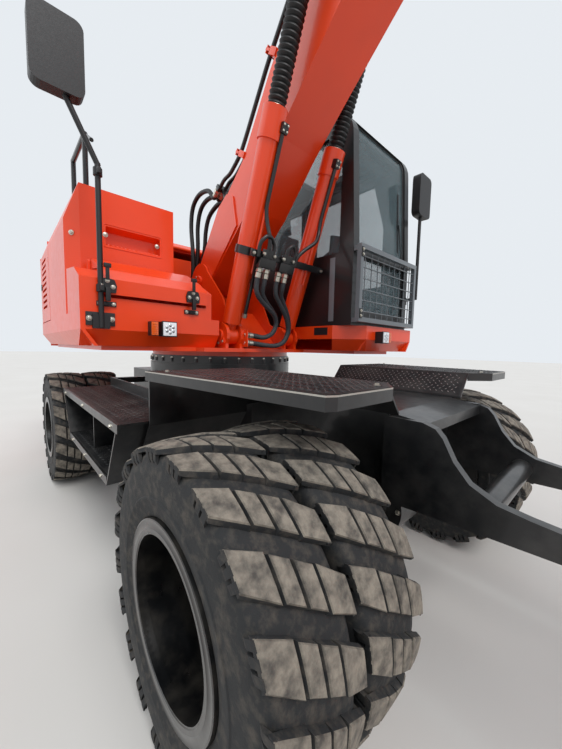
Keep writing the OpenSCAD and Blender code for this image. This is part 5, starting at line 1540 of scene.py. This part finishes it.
def make_arm_hoses():
    """Hoses to the arm's cylinder, and over the boom's tip to the bucket's cylinder."""
    block = block_piece("pipe_block", "boom", BLACK, (-0.020, -0.187, 0.066),
                        (0.014, -0.093, 0.110), on_boom_place(PIPE_END))
    ends = ((PIPE_YS[0], STICK.at(0.165, -0.012, 0.096)), (PIPE_YS[1], STICK.at(0.235, 0.028, 0.090)))
    for i, (y, end) in enumerate(ends):
        start = on_boom(PIPE_END + 0.03, y, PIPE_RISE)
        points = [start, on_boom(2.74, y, PIPE_RISE + 0.02), on_boom(2.88, y + 0.02, 0.19)]
        points += [end + V(-0.12, -0.03, 0.015), end]
        hose("arm_hose_" + str(i + 1), points, 0.013, ("boom", "stick_barrel"), RUBBER, [block])
    block = block_piece("arm_pipe_block", "arm", BLACK, (0.172, 0.078, 0.374),
                        (0.200, 0.147, 0.412), ARM.place())
    for i, y in enumerate(TIP_PIPE_YS):
        points = [on_boom(TIP_PIPE_END, y, TIP_PIPE_RISE)]
        points += [BOOM.at(u, y, w) for u, w in ((5.12, 0.37), (5.28, 0.46), (5.47, 0.56))]
        points.append(BOOM.at(5.70, y - 0.01, 0.60))
        points += [ARM.at(u, y - ARM_SHIFT, w) for u, w in ((-0.12, 0.53), (0.02, 0.455), (0.150, 0.400))]
        hose("bucket_hose_" + str(i + 1), points, 0.013, ("boom", "arm"), RUBBER, [block])


def make_bucket_details():
    """Pins of the teeth."""
    bm = bmesh.new()
    pin = [(0.012, -0.001), (0.012, 0.003), (0.009, 0.005), (0, 0.005)]
    for i in range(5):
        y = (i - 2) * (2 * 0.560 - 0.076) / 4
        for side in (-1, 1):
            lathe(bm, BUCKET.at(1.300, y + side * 0.038, 0.085), (0, side, 0), pin, 14)
    piece("bucket_details", bm, "bucket", WORN)


make_pins()
make_lift_bar()
make_lift_pipes()
make_lift_hoses()
make_bellows()
make_bellows_clamps()
make_boom_pipes()
make_valves()
make_root_hoses()
make_arm_ports()
make_arm_pipes()
make_arm_hoses()
make_bucket_details()


# Floor, light and background


def make_stage():
    bm = bmesh.new()
    bmesh.ops.create_grid(bm, x_segments=1, y_segments=1, size=60)
    mesh = bpy.data.meshes.new("floor")
    bm.to_mesh(mesh)
    bm.free()
    floor = bpy.data.objects.new("floor", mesh)
    bpy.context.collection.objects.link(floor)
    floor.location.z = -0.001
    s = Surface("floor", Roughness=0.9)
    s.colour(s.mix(s.noise(0.8, 4), srgb(198, 194, 188), srgb(208, 205, 200)))
    mesh.materials.append(s.material)


def make_world():
    world = bpy.data.worlds.new("world")
    bpy.context.scene.world = world
    world.use_nodes = True
    tree = world.node_tree
    sky = tree.nodes["Background"]
    sky.inputs["Color"].default_value = (0.86, 0.92, 1.0, 1)
    sky.inputs["Strength"].default_value = 0.8
    backdrop = tree.nodes.new("ShaderNodeBackground")
    backdrop.inputs["Color"].default_value = (0.80, 0.84, 0.88, 1)
    rays = tree.nodes.new("ShaderNodeLightPath")
    last = rays.outputs["Is Camera Ray"]
    for other in ("Is Glossy Ray", "Is Transmission Ray"):
        either = tree.nodes.new("ShaderNodeMath")
        either.operation = "MAXIMUM"
        tree.links.new(last, either.inputs[0])
        tree.links.new(rays.outputs[other], either.inputs[1])
        last = either.outputs[0]
    pick = tree.nodes.new("ShaderNodeMixShader")
    tree.links.new(last, pick.inputs[0])
    tree.links.new(sky.outputs[0], pick.inputs[1])
    tree.links.new(backdrop.outputs[0], pick.inputs[2])
    tree.links.new(pick.outputs[0], tree.nodes["World Output"].inputs["Surface"])


def make_suns():
    # Name, strength, size of the source in degrees, and its direction
    for name, energy, angle, turn in (("key", 2.0, 30, (35, 15, 60)), ("fill", 0.6, 60, (62, 0, -40))):
        sun = bpy.data.lights.new(name, "SUN")
        sun.energy = energy
        sun.angle = RAD(angle)
        lamp = bpy.data.objects.new(name, sun)
        lamp.rotation_euler = [RAD(a) for a in turn]
        bpy.context.collection.objects.link(lamp)


make_stage()
make_world()
make_suns()
